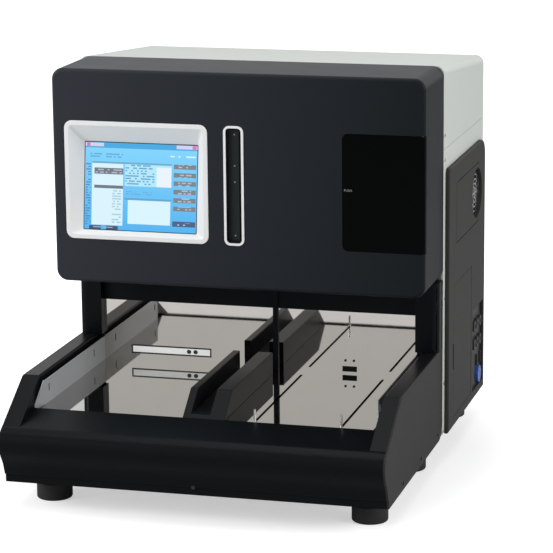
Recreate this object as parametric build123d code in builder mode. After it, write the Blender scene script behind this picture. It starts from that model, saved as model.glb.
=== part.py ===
from build123d import *
import math
import os

os.makedirs("parts", exist_ok=True)

# Bench-top urine analyzer. Millimetres, +Z up, the operator stands at -Y.
# The origin is on the table, under the middle of the whole object.

# ---- Overall sizes ---------------------------------------------------------------------
casing_width = 560.0  # across the painted casing
cover_top_z = 604.0  # table to the top of the front cover
rear_reach = 355.0  # origin back to the rear wall
rear_fittings_proud = 3.0  # sockets and screw heads behind the rear wall
rim_y = 30.0  # plane where the front cover meets the casing
cover_depth = 130.0  # front cover, rim to face
cover_height = 319.0
cover_corner = 17.0  # corner radius seen from the front
cover_edge = 5.0  # rounding between the face and the sides
cover_wall = 3.0
shell_proud = 6.5  # moulded side shells stand out from the casing

# ---- Base and trays --------------------------------------------------------------------
foot_height = 43.0
foot_radius = 26.0
foot_inset = 45.0  # foot centre in from the casing side
foot_front_inset = 100.0  # foot rows in from the two ends of the base
foot_rear_inset = 55.0
tray_depth_under = 95.0  # underside of the base up to the tray floor
tray_inset = 34.0  # casing side to the outer face of the tray liner
tray_wall_height = 42.0
wall_gap = 8.0  # dark slot between the liner and the moulded wall
liner_sheet = 1.2
liner_height = 36.0
floor_sheet = 2.0
pan_sheet = 3.0
panel_sheet = 3.0
moulding_wall = 3.0
apron_length = 75.0
apron_top_rise = 2.0  # the apron's rear lip above the tray floor
plate_setback = 19.0  # back plates in front of the rim
plate_sheet = 1.8
pillar_front_y = -2.0
pillar_round = 12.0
divider_width = 62.0
divider_height = 34.0
divider_front_gap = 0.5
divider_slope = 45.0  # length of the sloping front end
divider_rear_gap = 31.0  # a rack passes between the divider and the back plates
groove_left_rail = 11.0
groove_width = 28.0
groove_depth = 28.0
post_width = 8.0
post_offset = 28.0
slot_width = 4.0
slot_front = 7.0  # slot end behind the floor's front edge
slot_rear_gap = 23.0
slot_centres = (73.5, 198.5)
pin_radius = 1.7
pin_rise = 18.0  # pusher pins above the tray floor
screw_x = 136.0  # lead screw of the rack pusher, below the right tray
screw_z = 72.0
motor_side = 42.0
motor_length = 40.0
journal_radius = 2.5
journal_hole = 4.0
strip_size = (127.0, 13.5)
strip_centre = (-138.0, 156.8)
strip_margin = 0.3
header_height = 52.0  # dark header over the back plates
sensor_size = (22.0, 8.0)
sensor_centre = (142.0, 145.0)

# ---- Front cover furniture -------------------------------------------------------------
row_rise = 66.0  # bezel, indicator and cassette door stand on one line above the cover's floor
bezel_width = 219.0
bezel_height = 176.5
bezel_inset = 18.5  # casing side to the bezel
bezel_lip = 5.4
bezel_proud = 1.5
bezel_corner = 12.0
display_size = (175.0, 131.0)
display_inset = 24.5  # bezel's left edge to the display
display_rise = 13.0
display_tilt = 7.3  # degrees, top leaning back
display_bottom_depth = 4.0
display_thickness = 9.0
indicator_width = 30.0
indicator_gap = 24.3  # bezel to the indicator
indicator_lip = 3.4
indicator_corner = 9.0
indicator_recess = 9.0
lens_width = 14.0
door_width = 121.0
door_height = 170.5
door_sheet = 4.0
door_gap = 0.6
door_corner = 8.0
hinge_pin_radius = 1.5
running_gap = 0.05
well_depth = 62.0
well_wall = 2.5
drum_radius = 17.0
drum_length = 60.0

# ---- Casing ----------------------------------------------------------------------------
casing_wall = 2.5
casing_bottom_z = 50.0
seam_drop = 124.0  # cover top to the seam between lid and body
roof_fall = 28.0  # the roof drops this much from the rim to the back
rear_corner = 15.0
shell_front_gap = 14.0  # white strip left in front of the side shell
shell_rear_gap = 25.0
shell_top_gap = 31.0  # pale strip left above the side shell
shell_bottom_z = 44.0
shell_skin = 3.0
shell_corner_front = 10.0
shell_corner_rear = 26.0
vent_radius = 39.5
vent_rear_inset = 93.0
vent_drop = 76.5  # shell top to the vent's centre
access_front = 83.0
access_bottom = 60.0
access_top = 264.0
finger_slot = (7.0, 40.0)  # depth along Y, height
finger_slot_z = 155.0
pocket_post = 12.0  # between the access door and the pocket
pocket_width = 86.0
pocket_rear_inset = 37.0
pocket_bottom = 58.0
pocket_top = 190.0

# ---- Fits and fasteners ----------------------------------------------------------------
seat = 0.3  # clearance between neighbouring bodies
screw_radius = 1.6
screw_head = 1.4
screw_clearance = 0.1
screw_hole = screw_radius + screw_clearance
case_head_radius = 2.8
open_cut = 1.0  # a cut runs this far past an open side

# ---- Derived levels --------------------------------------------------------------------
half = casing_width / 2
tray_half = half - tray_inset
nose_reach = rear_reach + rear_fittings_proud
base_z = foot_height
floor_z = base_z + tray_depth_under
wall_top_z = floor_z + tray_wall_height
cover_bottom_z = cover_top_z - cover_height
face_y = rim_y - cover_depth
foot_rows = (foot_front_inset - rear_reach, 0.0, rear_reach - foot_rear_inset)
seam_z = cover_top_z - seam_drop
shell_top_z = seam_z - shell_top_gap
vent_centre = (rear_reach - vent_rear_inset, shell_top_z - vent_drop)
pocket_rear = rear_reach - pocket_rear_inset
pocket_front = pocket_rear - pocket_width
access_rear = pocket_front - pocket_post
plate_y = rim_y - plate_setback
apron_rear_y = apron_length - nose_reach
pan_half = half - panel_sheet
pan_top_z = floor_z - floor_sheet
rack_wall_y = plate_y + plate_sheet
tray_front_y = apron_rear_y
bulkhead_y = rim_y
bulkhead_sheet = 2.0
row_bottom_z = cover_bottom_z + row_rise
row_top_z = row_bottom_z + bezel_height
bezel_left = half - bezel_inset
display_left = bezel_left - display_inset
display_bottom_z = row_bottom_z + display_rise
indicator_centre = bezel_width - bezel_left + indicator_gap + indicator_width / 2
door_left = half - door_width


def save(piece, name):
    """Label one finished piece and write its STEP file."""
    piece.label = name
    export_step(piece, "parts/" + name + ".step")


def block(x, y, z, mode=Mode.ADD):
    """A box from its low and high faces along X, Y and Z, inside the current part."""
    centre = ((x[0] + x[1]) / 2, (y[0] + y[1]) / 2, (z[0] + z[1]) / 2)
    with Locations(centre):
        Box(x[1] - x[0], y[1] - y[0], z[1] - z[0], mode=mode)


def rod(axis, across, span, radius, mode=Mode.ADD):
    """A round bar along X, Y or Z. across holds its other two coordinates in X, Y, Z order."""
    middle = (span[0] + span[1]) / 2
    length = span[1] - span[0]
    if axis == "X":
        place = Location((middle, across[0], across[1]), (0, 90, 0))
    elif axis == "Y":
        place = Location((across[0], middle, across[1]), (90, 0, 0))
    else:
        place = Location((across[0], across[1], middle))
    with Locations(place):
        Cylinder(radius, length, mode=mode)


def rounded_slab(x, z, y, corner):
    """A plate facing the operator, with rounded corners in the XZ plane."""
    centre = ((x[0] + x[1]) / 2, (z[0] + z[1]) / 2)
    with BuildSketch(Plane.XZ.offset(-y[1]), mode=Mode.PRIVATE) as outline:
        with Locations(centre):
            RectangleRounded(x[1] - x[0], z[1] - z[0], corner)
    return extrude(outline.sketch, amount=y[1] - y[0], mode=Mode.PRIVATE)


def side_slab(y, z, x, corner):
    """A plate facing sideways, with rounded corners in the YZ plane."""
    centre = ((y[0] + y[1]) / 2, (z[0] + z[1]) / 2)
    with BuildSketch(Plane.YZ.offset(x[0]), mode=Mode.PRIVATE) as outline:
        with Locations(centre):
            RectangleRounded(y[1] - y[0], z[1] - z[0], corner)
    return extrude(outline.sketch, amount=x[1] - x[0], mode=Mode.PRIVATE)


def mirrored(piece):
    """The opposite hand of a piece, across the middle plane."""
    return mirror(piece, about=Plane.YZ, mode=Mode.PRIVATE)


# ======== Base =========================================================================

# Rubber feet: a wide pad under a narrower neck, in three rows of two.
foot_neck_radius = 17.0
foot_pad_height = 24.0
foot_edge = 3.0

with BuildPart() as feet:
    for row in foot_rows:
        for side in (-1, 1):
            at = (side * (half - foot_inset), row)
            rod("Z", at, (0, foot_pad_height), foot_radius)
            rod("Z", at, (foot_pad_height, base_z), foot_neck_radius)
    fillet(feet.edges().filter_by(GeomType.CIRCLE).group_by(Axis.Z)[0], radius=foot_edge)
save(feet.part, "feet")

# Folded steel pan: a bottom sheet with ribs that carry the tray floors and the casing.
centre_rib = divider_width / 2
rack_wall_rise = 3.0  # the pan's rear wall stands a little over the divider
rack_wall_top_z = floor_z + divider_height + rack_wall_rise
pan_front_y = apron_rear_y
pan_rear_y = rear_reach - casing_wall
rear_rib_top_z = 120.0
rear_rib_end_y = rear_reach - rear_corner
rear_rib_outer = half - casing_wall

with BuildPart() as base_pan:
    block((-pan_half, pan_half), (pan_front_y, pan_rear_y), (base_z, base_z + pan_sheet))
    fillet(base_pan.edges().filter_by(Axis.Z).group_by(Axis.Y)[-1], radius=rear_corner - casing_wall)
    for side in (-1, 1):
        outer = side * (tray_half - liner_sheet)
        rib = sorted((outer, outer - side * pan_sheet))
        block(rib, (pan_front_y, rack_wall_y), (base_z, pan_top_z))
        rear_rib = sorted((side * rear_rib_outer, side * (rear_rib_outer - pan_sheet)))
        block(rear_rib, (rim_y + pan_sheet, rear_rib_end_y), (base_z, rear_rib_top_z))
        middle = side * centre_rib
        block(sorted((middle, middle - side * pan_sheet)), (pan_front_y, rack_wall_y), (base_z, pan_top_z))
    cross = (liner_sheet - tray_half, tray_half - liner_sheet)
    block(cross, (pan_front_y, pan_front_y + pan_sheet), (base_z, pan_top_z))
    rack_wall = (rack_wall_y, rack_wall_y + pan_sheet)
    block(cross, rack_wall, (base_z, rack_wall_top_z))
    rod("Y", (screw_x, screw_z), rack_wall, journal_hole, Mode.SUBTRACT)
save(base_pan.part, "base_pan")

# Moulded apron: a hollow nose across the front, with a bright rounded edge and an undercut.
nose_z = 104.0
brow_z = 118.0
brow_setback = 4.5
chin_z = 85.0
chin_setback = 7.0
undercut_z = 68.0
undercut_setback = 17.0
skirt_z = 55.0
skirt_setback = 23.0
skirt_foot_setback = 25.0
slope_foot_z = 127.0
slope_foot_setback = 18.0
apron_skirt_y = skirt_foot_setback - nose_reach
slope_foot = (slope_foot_setback - nose_reach, slope_foot_z)  # where the walls' slope meets the apron
nose_curve = [
    slope_foot,
    (brow_setback - nose_reach, brow_z),
    (-nose_reach, nose_z),
    (chin_setback - nose_reach, chin_z),
    (undercut_setback - nose_reach, undercut_z),
    (skirt_setback - nose_reach, skirt_z),
    (apron_skirt_y, base_z),
]
apron_lip = (apron_rear_y, floor_z + apron_top_rise)
nose_wall = 1.4 * moulding_wall  # the curved wall, measured along Y
apron_screw_y = skirt_setback - nose_reach  # the head seats on the skirt

with BuildPart() as front_apron:
    with BuildSketch(Plane.YZ.offset(-pan_half)):
        with BuildLine():
            Spline(*nose_curve, tangents=((-1, -0.5), (0, -1)))
            Polyline((apron_skirt_y, base_z), (apron_rear_y, base_z), apron_lip, slope_foot)
        make_face()
    extrude(amount=2 * pan_half)
    inner_nose = [(y + nose_wall, z) for y, z in nose_curve[1:-1]]
    with BuildSketch(Plane.YZ.offset(moulding_wall - pan_half)):
        with BuildLine():
            Polyline(
                (slope_foot[0] + nose_wall, slope_foot[1] - nose_wall),
                *inner_nose,
                (apron_skirt_y + nose_wall, base_z + moulding_wall),
                (apron_rear_y - moulding_wall, base_z + moulding_wall),
                (apron_rear_y - moulding_wall, apron_lip[1] - nose_wall),
                close=True,
            )
        make_face()
    extrude(amount=2 * (pan_half - moulding_wall), mode=Mode.SUBTRACT)
    rod("Y", (0, skirt_z), (apron_screw_y, apron_screw_y + 2 * nose_wall), screw_hole, Mode.SUBTRACT)
    rod("Y", (0, skirt_z), (-nose_reach, apron_screw_y), case_head_radius + screw_clearance, Mode.SUBTRACT)
save(front_apron.part, "front_apron")

# Moulded tray walls, open towards the side panels, with a sloping front end.
shoulder_inset = 103.0
shoulder_y = shoulder_inset - rear_reach
shoulder_round = 26.0
wall_inner = tray_half + wall_gap
wall_top_edge = 3.0
wall_rear_y = rim_y

with BuildPart() as tray_wall_right:
    with BuildSketch(Plane.YZ.offset(wall_inner)) as wall_outline:
        with BuildLine():
            Polyline(
                (wall_rear_y, base_z + pan_sheet),
                (wall_rear_y, wall_top_z),
                (shoulder_y, wall_top_z),
                slope_foot,
                apron_lip,
                (apron_rear_y, base_z + pan_sheet),
                close=True,
            )
        make_face()
        shoulder = wall_outline.vertices().sort_by_distance(Vector(wall_inner, shoulder_y, wall_top_z))[0]
        fillet(shoulder, radius=shoulder_round)
    extrude(amount=pan_half - wall_inner)
    inner_top = tray_wall_right.edges().filter_by(Axis.Y).group_by(Axis.Z)[-1].group_by(Axis.X)[0]
    fillet(inner_top, radius=wall_top_edge)
    with BuildSketch(Plane.YZ.offset(wall_inner + moulding_wall)):
        with BuildLine():
            Polyline(
                (wall_rear_y - moulding_wall, base_z + pan_sheet + moulding_wall),
                (wall_rear_y - moulding_wall, wall_top_z - moulding_wall),
                (shoulder_y + 2 * moulding_wall, wall_top_z - moulding_wall),
                (apron_rear_y + moulding_wall, floor_z + apron_top_rise + moulding_wall),
                (apron_rear_y + moulding_wall, base_z + pan_sheet + moulding_wall),
                close=True,
            )
        make_face()
    extrude(amount=pan_half - wall_inner - moulding_wall, mode=Mode.SUBTRACT)
save(tray_wall_right.part, "tray_wall_right")
save(mirrored(tray_wall_right.part), "tray_wall_left")

# Flat side panels screwed over the open side of the walls and the apron.
panel_screw_rise = 10.0
panel_screw_step = 1.0  # the row of screws climbs this much from one to the next
panel_screw_pitch = (shoulder_y + pillar_round) / 2
panel_screws = [
    (index * panel_screw_pitch, base_z + panel_screw_rise + (1 - index) * panel_screw_step)
    for index in range(3)
]
panel_edge = 1.2

with BuildPart() as side_panel_right:
    with BuildSketch(Plane.YZ.offset(pan_half)) as panel_outline:
        with BuildLine():
            Spline(*nose_curve, tangents=((-1, -0.5), (0, -1)))
            Polyline(
                (apron_skirt_y, base_z),
                (wall_rear_y, base_z),
                (wall_rear_y, wall_top_z),
                (shoulder_y, wall_top_z),
                slope_foot,
            )
        make_face()
        shoulder = panel_outline.vertices().sort_by_distance(Vector(pan_half, shoulder_y, wall_top_z))[0]
        fillet(shoulder, radius=shoulder_round)
    extrude(amount=panel_sheet)
    outer_top = side_panel_right.faces().sort_by(Axis.X)[-1].edges().filter_by(Axis.Y).sort_by(Axis.Z)[-1]
    chamfer(outer_top, length=panel_edge)
    for y, z in panel_screws:
        rod("X", (y, z), (pan_half, half), screw_radius + screw_clearance, Mode.SUBTRACT)
save(side_panel_right.part, "side_panel_right")
save(mirrored(side_panel_right.part), "side_panel_left")

# Grey sheet liners beside the trays, bent out and chamfered at the front, with two slotted holes.
liner_inner = tray_half - liner_sheet
liner_front_inset = 75.5
liner_front_y = liner_front_inset - rear_reach
liner_slope = 22.0
liner_nose_height = 5.0
liner_flare = 27.0  # the front end bends out to the moulded wall
liner_flare_gap = 0.3
liner_slot_inset = 39.5
liner_slot_drop = 14.0
liner_slot_y = (liner_front_y + liner_slot_inset, -40.0)
liner_slot_size = (4.0, 12.0)

with BuildPart() as tray_liners:
    flare_y = liner_front_y + liner_flare
    flare_x = wall_inner - liner_flare_gap
    with BuildSketch(Plane.XY.offset(pan_top_z)):
        with BuildLine():
            Polyline(
                (liner_inner, plate_y),
                (liner_inner, flare_y),
                (flare_x - liner_sheet, liner_front_y),
                (flare_x, liner_front_y),
                (tray_half, flare_y),
                (tray_half, plate_y),
                close=True,
            )
        make_face()
    extrude(amount=floor_z + liner_height - pan_top_z)
    with BuildSketch(Plane.YZ.offset(liner_inner)):
        with BuildLine():
            Polyline(
                (liner_front_y, floor_z + liner_nose_height),
                (liner_front_y, floor_z + liner_height),
                (liner_front_y + liner_slope, floor_z + liner_height),
                close=True,
            )
        make_face()
        with Locations(*[(y, floor_z + liner_height - liner_slot_drop) for y in liner_slot_y]):
            SlotOverall(liner_slot_size[1], liner_slot_size[0], rotation=90)
    extrude(amount=wall_gap + liner_sheet, mode=Mode.SUBTRACT)
    mirror(about=Plane.YZ)
save(tray_liners.part, "tray_liners")

# Polished tray floors. The right one has two long slots for the pusher pins.
floor_rear_y = plate_y
floor_outer = liner_inner
slot_span = (tray_front_y + slot_front, floor_rear_y - slot_rear_gap)

with BuildPart() as tray_floor_left:
    block((-floor_outer, 0), (tray_front_y, floor_rear_y), (pan_top_z, floor_z))
save(tray_floor_left.part, "tray_floor_left")

with BuildPart() as tray_floor_right:
    block((0, floor_outer), (tray_front_y, floor_rear_y), (pan_top_z, floor_z))
    with BuildSketch(Plane.XY.offset(pan_top_z)):
        with Locations(*[(x, (slot_span[0] + slot_span[1]) / 2) for x in slot_centres]):
            SlotOverall(slot_span[1] - slot_span[0], slot_width, rotation=90)
    extrude(amount=floor_sheet, mode=Mode.SUBTRACT)
save(tray_floor_right.part, "tray_floor_right")

# Polished back plates, the dark header and post over them, a white strip and a small sensor.
plate_top_z = cover_bottom_z - header_height
plate_joint = post_offset

with BuildPart() as back_plate_left:
    block((-floor_outer, plate_joint), (plate_y, rack_wall_y), (pan_top_z, plate_top_z))
    window = (strip_size[0] / 2 + strip_margin, strip_size[1] / 2 + strip_margin)
    block(
        (strip_centre[0] - window[0], strip_centre[0] + window[0]),
        (plate_y, rack_wall_y),
        (strip_centre[1] - window[1], strip_centre[1] + window[1]),
        Mode.SUBTRACT,
    )
save(back_plate_left.part, "back_plate_left")

with BuildPart() as back_plate_right:
    block((plate_joint, floor_outer), (plate_y, rack_wall_y), (pan_top_z, plate_top_z))
save(back_plate_right.part, "back_plate_right")

strip_screw_radius = 3.0
strip_screw_offsets = (28.0, 38.5)
strip_screw_proud = 0.8

with BuildPart() as rack_strip:
    block(
        (strip_centre[0] - strip_size[0] / 2, strip_centre[0] + strip_size[0] / 2),
        (plate_y, rack_wall_y),
        (strip_centre[1] - strip_size[1] / 2, strip_centre[1] + strip_size[1] / 2),
    )
    for step in strip_screw_offsets:
        rod(
            "Y",
            (strip_centre[0] + step, strip_centre[1]),
            (plate_y - strip_screw_proud, plate_y),
            strip_screw_radius,
        )
save(rack_strip.part, "rack_strip")

sensor_proud = 1.0
sensor_dot_radius = 1.8
sensor_dot_gap = 13.0

with BuildPart() as rack_sensor:
    block(
        (sensor_centre[0] - sensor_size[0] / 2, sensor_centre[0] + sensor_size[0] / 2),
        (plate_y - sensor_proud, plate_y),
        (sensor_centre[1] - sensor_size[1] / 2, sensor_centre[1] + sensor_size[1] / 2),
    )
    for side in (-1, 1):
        rod(
            "Y",
            (sensor_centre[0] + side * sensor_dot_gap / 2, sensor_centre[1] + sensor_dot_gap),
            (plate_y - sensor_proud, plate_y),
            sensor_dot_radius,
        )
save(rack_sensor.part, "rack_sensor")

post_depth = 3.0
with BuildPart() as centre_post:
    block(
        (post_offset - post_width / 2, post_offset + post_width / 2),
        (plate_y - post_depth, plate_y),
        (floor_z, cover_bottom_z),
    )
    block((-floor_outer, floor_outer), (plate_y, rack_wall_y), (plate_top_z, cover_bottom_z))
save(centre_post.part, "centre_post")

# Tray divider: a moulding with a groove along its top and a sloping front end.
divider_front_y = tray_front_y + divider_front_gap
divider_rear_y = plate_y - divider_rear_gap
divider_top_z = floor_z + divider_height
groove_x = (groove_left_rail - divider_width / 2, groove_left_rail + groove_width - divider_width / 2)
divider_edge = 1.5

with BuildPart() as tray_divider:
    with BuildSketch(Plane.YZ.offset(-divider_width / 2)):
        with BuildLine():
            Polyline(
                (divider_front_y, floor_z),
                (divider_front_y + divider_slope, divider_top_z),
                (divider_rear_y, divider_top_z),
                (divider_rear_y, floor_z),
                close=True,
            )
        make_face()
    extrude(amount=divider_width)
    groove_z = (divider_top_z - groove_depth, divider_top_z)
    block(groove_x, (divider_front_y, divider_rear_y), groove_z, Mode.SUBTRACT)
    ridge = tray_divider.edges().filter_by(Axis.Y).group_by(Axis.Z)[-1]
    fillet(ridge, radius=divider_edge)
save(tray_divider.part, "tray_divider")

# Dark pillars between the tray walls and the front cover.
pillar_inner = tray_half - liner_sheet
with BuildPart() as pillar_right:
    block((pillar_inner, half), (pillar_front_y, wall_rear_y), (wall_top_z, cover_bottom_z))
    corner_edge = pillar_right.edges().filter_by(Axis.Z).sort_by(Axis.X)[-2:].sort_by(Axis.Y)[0]
    fillet(corner_edge, radius=pillar_round)
    block(
        (pillar_inner, half - moulding_wall),
        (pillar_front_y + moulding_wall, wall_rear_y),
        (wall_top_z + moulding_wall, cover_bottom_z - moulding_wall),
        Mode.SUBTRACT,
    )
    block(
        (pillar_inner, pillar_inner + moulding_wall),
        (pillar_front_y + moulding_wall, plate_y + plate_sheet),
        (wall_top_z, cover_bottom_z),
    )
save(pillar_right.part, "pillar_right")
save(mirrored(pillar_right.part), "pillar_left")

# Steel bulkhead behind the rim: it carries the trays' rear, the cover, the rail and the reader.
bulkhead_half = half - casing_wall
bulkhead_z = (base_z + pan_sheet, cover_top_z - cover_wall)
shaft_hole_radius = 12.0
deck_window_half = 150.0
deck_window_rise = 15.0
deck_window_height = 45.0
deck_window_low_z = cover_bottom_z + deck_window_rise
deck_window_x = (-deck_window_half, deck_window_half)
deck_window_z = (deck_window_low_z, deck_window_low_z + deck_window_height)
gantry_inset = 65.0  # casing side to the pulleys' axes
gantry_x = half - gantry_inset
belt_rise = 131.0
belt_z = cover_bottom_z + belt_rise

with BuildPart() as bulkhead:
    bulkhead_span = (bulkhead_y, bulkhead_y + bulkhead_sheet)
    add(rounded_slab((-bulkhead_half, bulkhead_half), bulkhead_z, bulkhead_span, cover_corner))
    block(deck_window_x, bulkhead_span, deck_window_z, Mode.SUBTRACT)
    rod("Y", (-gantry_x, belt_z), bulkhead_span, shaft_hole_radius, Mode.SUBTRACT)
    motor_window_x = (screw_x - motor_side / 2, screw_x + motor_side / 2)
    motor_window_z = (screw_z - motor_side / 2, screw_z + motor_side / 2)
    block(motor_window_x, bulkhead_span, motor_window_z, Mode.SUBTRACT)
save(bulkhead.part, "bulkhead")

# ======== Front cover ==================================================================

# Dark moulded front cover: a rounded box, open at the back, with windows in its face.
needle_slot = ((-170.0, 150.0), (-14.0, 4.0))
bezel_x = (-bezel_left, bezel_width - bezel_left)
bezel_z = (row_bottom_z, row_top_z)
indicator_x = (indicator_centre - indicator_width / 2, indicator_centre + indicator_width / 2)
door_z = (row_bottom_z, row_bottom_z + door_height)
door_pin_x = half - door_sheet
door_pin_y = face_y + door_sheet
hinge_boss = 9.0
cover_rear_y = rim_y
barrel_room = door_sheet + door_gap
door_opening_z = (door_z[0] - door_gap, door_z[1] + door_gap)
window_inset = 3.0  # the cover's windows are hidden under the white lips
slot_inset = 2.0

with BuildPart() as front_cover:
    add(rounded_slab((-half, half), (cover_bottom_z, cover_top_z), (face_y, cover_rear_y), cover_corner))
    fillet(front_cover.faces().sort_by(Axis.Y)[0].edges(), radius=cover_edge)
    add(
        rounded_slab(
            (cover_wall - half, half - cover_wall),
            (cover_bottom_z + cover_wall, cover_top_z - cover_wall),
            (face_y + cover_wall, cover_rear_y),
            cover_corner - cover_wall,
        ),
        mode=Mode.SUBTRACT,
    )
    boss_x = (door_pin_x - hinge_boss, half - cover_wall)
    boss_y = (face_y + cover_wall, face_y + hinge_boss)
    block(boss_x, boss_y, (door_z[0] - hinge_boss, door_opening_z[0]))
    block(boss_x, boss_y, (door_opening_z[1], door_z[1] + hinge_boss))
    add(
        rounded_slab(
            (bezel_x[0] + window_inset, bezel_x[1] - window_inset),
            (bezel_z[0] + window_inset, bezel_z[1] - window_inset),
            (face_y, face_y + cover_wall),
            bezel_corner - window_inset,
        ),
        mode=Mode.SUBTRACT,
    )
    add(
        rounded_slab(
            (indicator_x[0] + slot_inset, indicator_x[1] - slot_inset),
            (bezel_z[0] + slot_inset, bezel_z[1] - slot_inset),
            (face_y, face_y + cover_wall),
            indicator_corner - slot_inset,
        ),
        mode=Mode.SUBTRACT,
    )
    opening_x = (door_left - door_gap, half + 2 * door_corner)
    opening = rounded_slab(opening_x, door_opening_z, (face_y, door_pin_y), door_corner + door_gap)
    add(opening, mode=Mode.SUBTRACT)
    block((door_pin_x - barrel_room, half), (face_y, door_pin_y + barrel_room), door_opening_z, Mode.SUBTRACT)
    rod(
        "Z",
        (door_pin_x, door_pin_y),
        (door_z[0] - hinge_boss, door_z[1] + hinge_boss),
        hinge_pin_radius,
        Mode.SUBTRACT,
    )
    block(needle_slot[0], needle_slot[1], (cover_bottom_z, cover_bottom_z + cover_wall), Mode.SUBTRACT)
save(front_cover.part, "front_cover")

# White screen bezel: a raised lip with walls that run back to the tilted display.
tilt = math.radians(display_tilt)
bezel_back = 28.0
bezel_round = 0.9
display_middle = ((display_size[0] / 2 - display_left), display_size[1] / 2)
display_margin = 6.0  # the panel's frame hidden behind the bezel
glass_corner = 2.0
mouth_step = 1.0  # the funnel starts this far inside the lip
mouth_size = (bezel_width - 2 * (bezel_lip + mouth_step), bezel_height - 2 * (bezel_lip + mouth_step))
display_plane = Plane(
    origin=(0, face_y + display_bottom_depth, display_bottom_z),
    x_dir=(1, 0, 0),
    z_dir=(0, -math.cos(tilt), math.sin(tilt)),
)

with BuildPart() as screen_bezel:
    add(rounded_slab(bezel_x, bezel_z, (face_y - bezel_proud, face_y), bezel_corner))
    fillet(screen_bezel.faces().sort_by(Axis.Y)[0].edges(), radius=bezel_round)
    add(
        rounded_slab(
            (bezel_x[0] + window_inset, bezel_x[1] - window_inset),
            (bezel_z[0] + window_inset, bezel_z[1] - window_inset),
            (face_y, face_y + bezel_back),
            bezel_corner - window_inset,
        )
    )
    with BuildSketch(Plane.XZ.offset(-face_y + bezel_proud)):
        with Locations(((bezel_x[0] + bezel_x[1]) / 2, (bezel_z[0] + bezel_z[1]) / 2)):
            RectangleRounded(*mouth_size, bezel_corner - bezel_lip)
    with BuildSketch(display_plane):
        with Locations(display_middle):
            RectangleRounded(*display_size, glass_corner)
    loft(mode=Mode.SUBTRACT)
    with BuildSketch(display_plane):
        with Locations(display_middle):
            Rectangle(display_size[0] + display_margin, display_size[1] + display_margin)
    extrude(amount=-2 * bezel_back, mode=Mode.SUBTRACT)
save(screen_bezel.part, "screen_bezel")

# Colour display with its glass and frame, leaning back behind the bezel.
with BuildPart() as display_panel:
    with BuildSketch(display_plane):
        with Locations(display_middle):
            Rectangle(display_size[0] + display_margin, display_size[1] + display_margin)
    extrude(amount=-display_thickness)
save(display_panel.part, "display_panel")

# White ring and dark lens of the level indicator.
lens_thickness = 3.0
lens_end_margin = 3.0
ring_wall = 1.0

with BuildPart() as indicator_bezel:
    add(rounded_slab(indicator_x, bezel_z, (face_y - bezel_proud, face_y), indicator_corner))
    add(
        rounded_slab(
            (indicator_x[0] + slot_inset, indicator_x[1] - slot_inset),
            (bezel_z[0] + slot_inset, bezel_z[1] - slot_inset),
            (face_y, face_y + indicator_recess + cover_wall),
            indicator_corner - slot_inset,
        )
    )
    add(
        rounded_slab(
            (indicator_x[0] + indicator_lip, indicator_x[1] - indicator_lip),
            (bezel_z[0] + indicator_lip, bezel_z[1] - indicator_lip),
            (face_y - bezel_proud, face_y + indicator_recess),
            indicator_corner - indicator_lip,
        ),
        mode=Mode.SUBTRACT,
    )
save(indicator_bezel.part, "indicator_bezel")

with BuildPart() as indicator_lens:
    block(
        (indicator_centre - lens_width / 2, indicator_centre + lens_width / 2),
        (face_y + indicator_recess - lens_thickness, face_y + indicator_recess),
        (bezel_z[0] + indicator_lip + lens_end_margin, bezel_z[1] - indicator_lip - lens_end_margin),
    )
    fillet(indicator_lens.faces().sort_by(Axis.Y)[0].edges(), radius=ring_wall)
save(indicator_lens.part, "indicator_lens")

# Glossy cassette door with a barrel along its right edge, on two pins.
barrel_radius = door_sheet
strike_size = (10.0, 12.0, 5.0)
latch_inset = 6.0
latch_x = door_left + latch_inset
latch_rise = 89.0
latch_z = row_bottom_z + latch_rise
with BuildPart() as cassette_door:
    with BuildSketch(Plane.XZ.offset(-door_pin_y)) as door_outline:
        with Locations(((door_left + door_pin_x) / 2, (door_z[0] + door_z[1]) / 2)):
            Rectangle(door_pin_x - door_left, door_z[1] - door_z[0])
        fillet(door_outline.vertices().group_by(Axis.X)[0], radius=door_corner)
    extrude(amount=door_sheet)
    rod("Z", (door_pin_x, door_pin_y), door_z, barrel_radius)
    block(
        (latch_x - strike_size[0] / 2, latch_x + strike_size[0] / 2),
        (door_pin_y, door_pin_y + strike_size[2]),
        (latch_z - strike_size[1] / 2, latch_z + strike_size[1] / 2),
    )
    rod("Z", (door_pin_x, door_pin_y), door_z, hinge_pin_radius + running_gap, Mode.SUBTRACT)
save(cassette_door.part, "cassette_door")

# Cassette well: a box behind the door, open at the front, with a slot in its floor and the
# latch's sleeve on its left wall.
plunger_radius = 3.0
plunger_travel = 4.0
plunger_length = 24.0
plunger_front_y = door_pin_y + strike_size[2] + seat
sleeve_radius = 5.0
sleeve_lead = 1.0
sleeve_tail = 3.0
sleeve_y = (
    plunger_front_y + plunger_travel + sleeve_lead,
    plunger_front_y + plunger_length + plunger_travel + sleeve_tail,
)
well_inset = 12.0
well_x = (door_left + well_inset, door_pin_x - well_inset)
well_end_inset = 6.0
well_z = (door_z[0] + well_end_inset, door_z[1] - well_end_inset)
well_front_y = door_pin_y + seat
well_rear_y = well_front_y + well_depth
drum_gap = 6.0  # drum to the well's rear wall and floor
drum_centre = ((well_x[0] + well_x[1]) / 2, well_rear_y - well_wall - drum_radius - drum_gap)
drum_z = well_z[0] + well_wall + drum_radius + drum_gap
axle_radius = 3.0
exit_slot = 8.0

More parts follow.
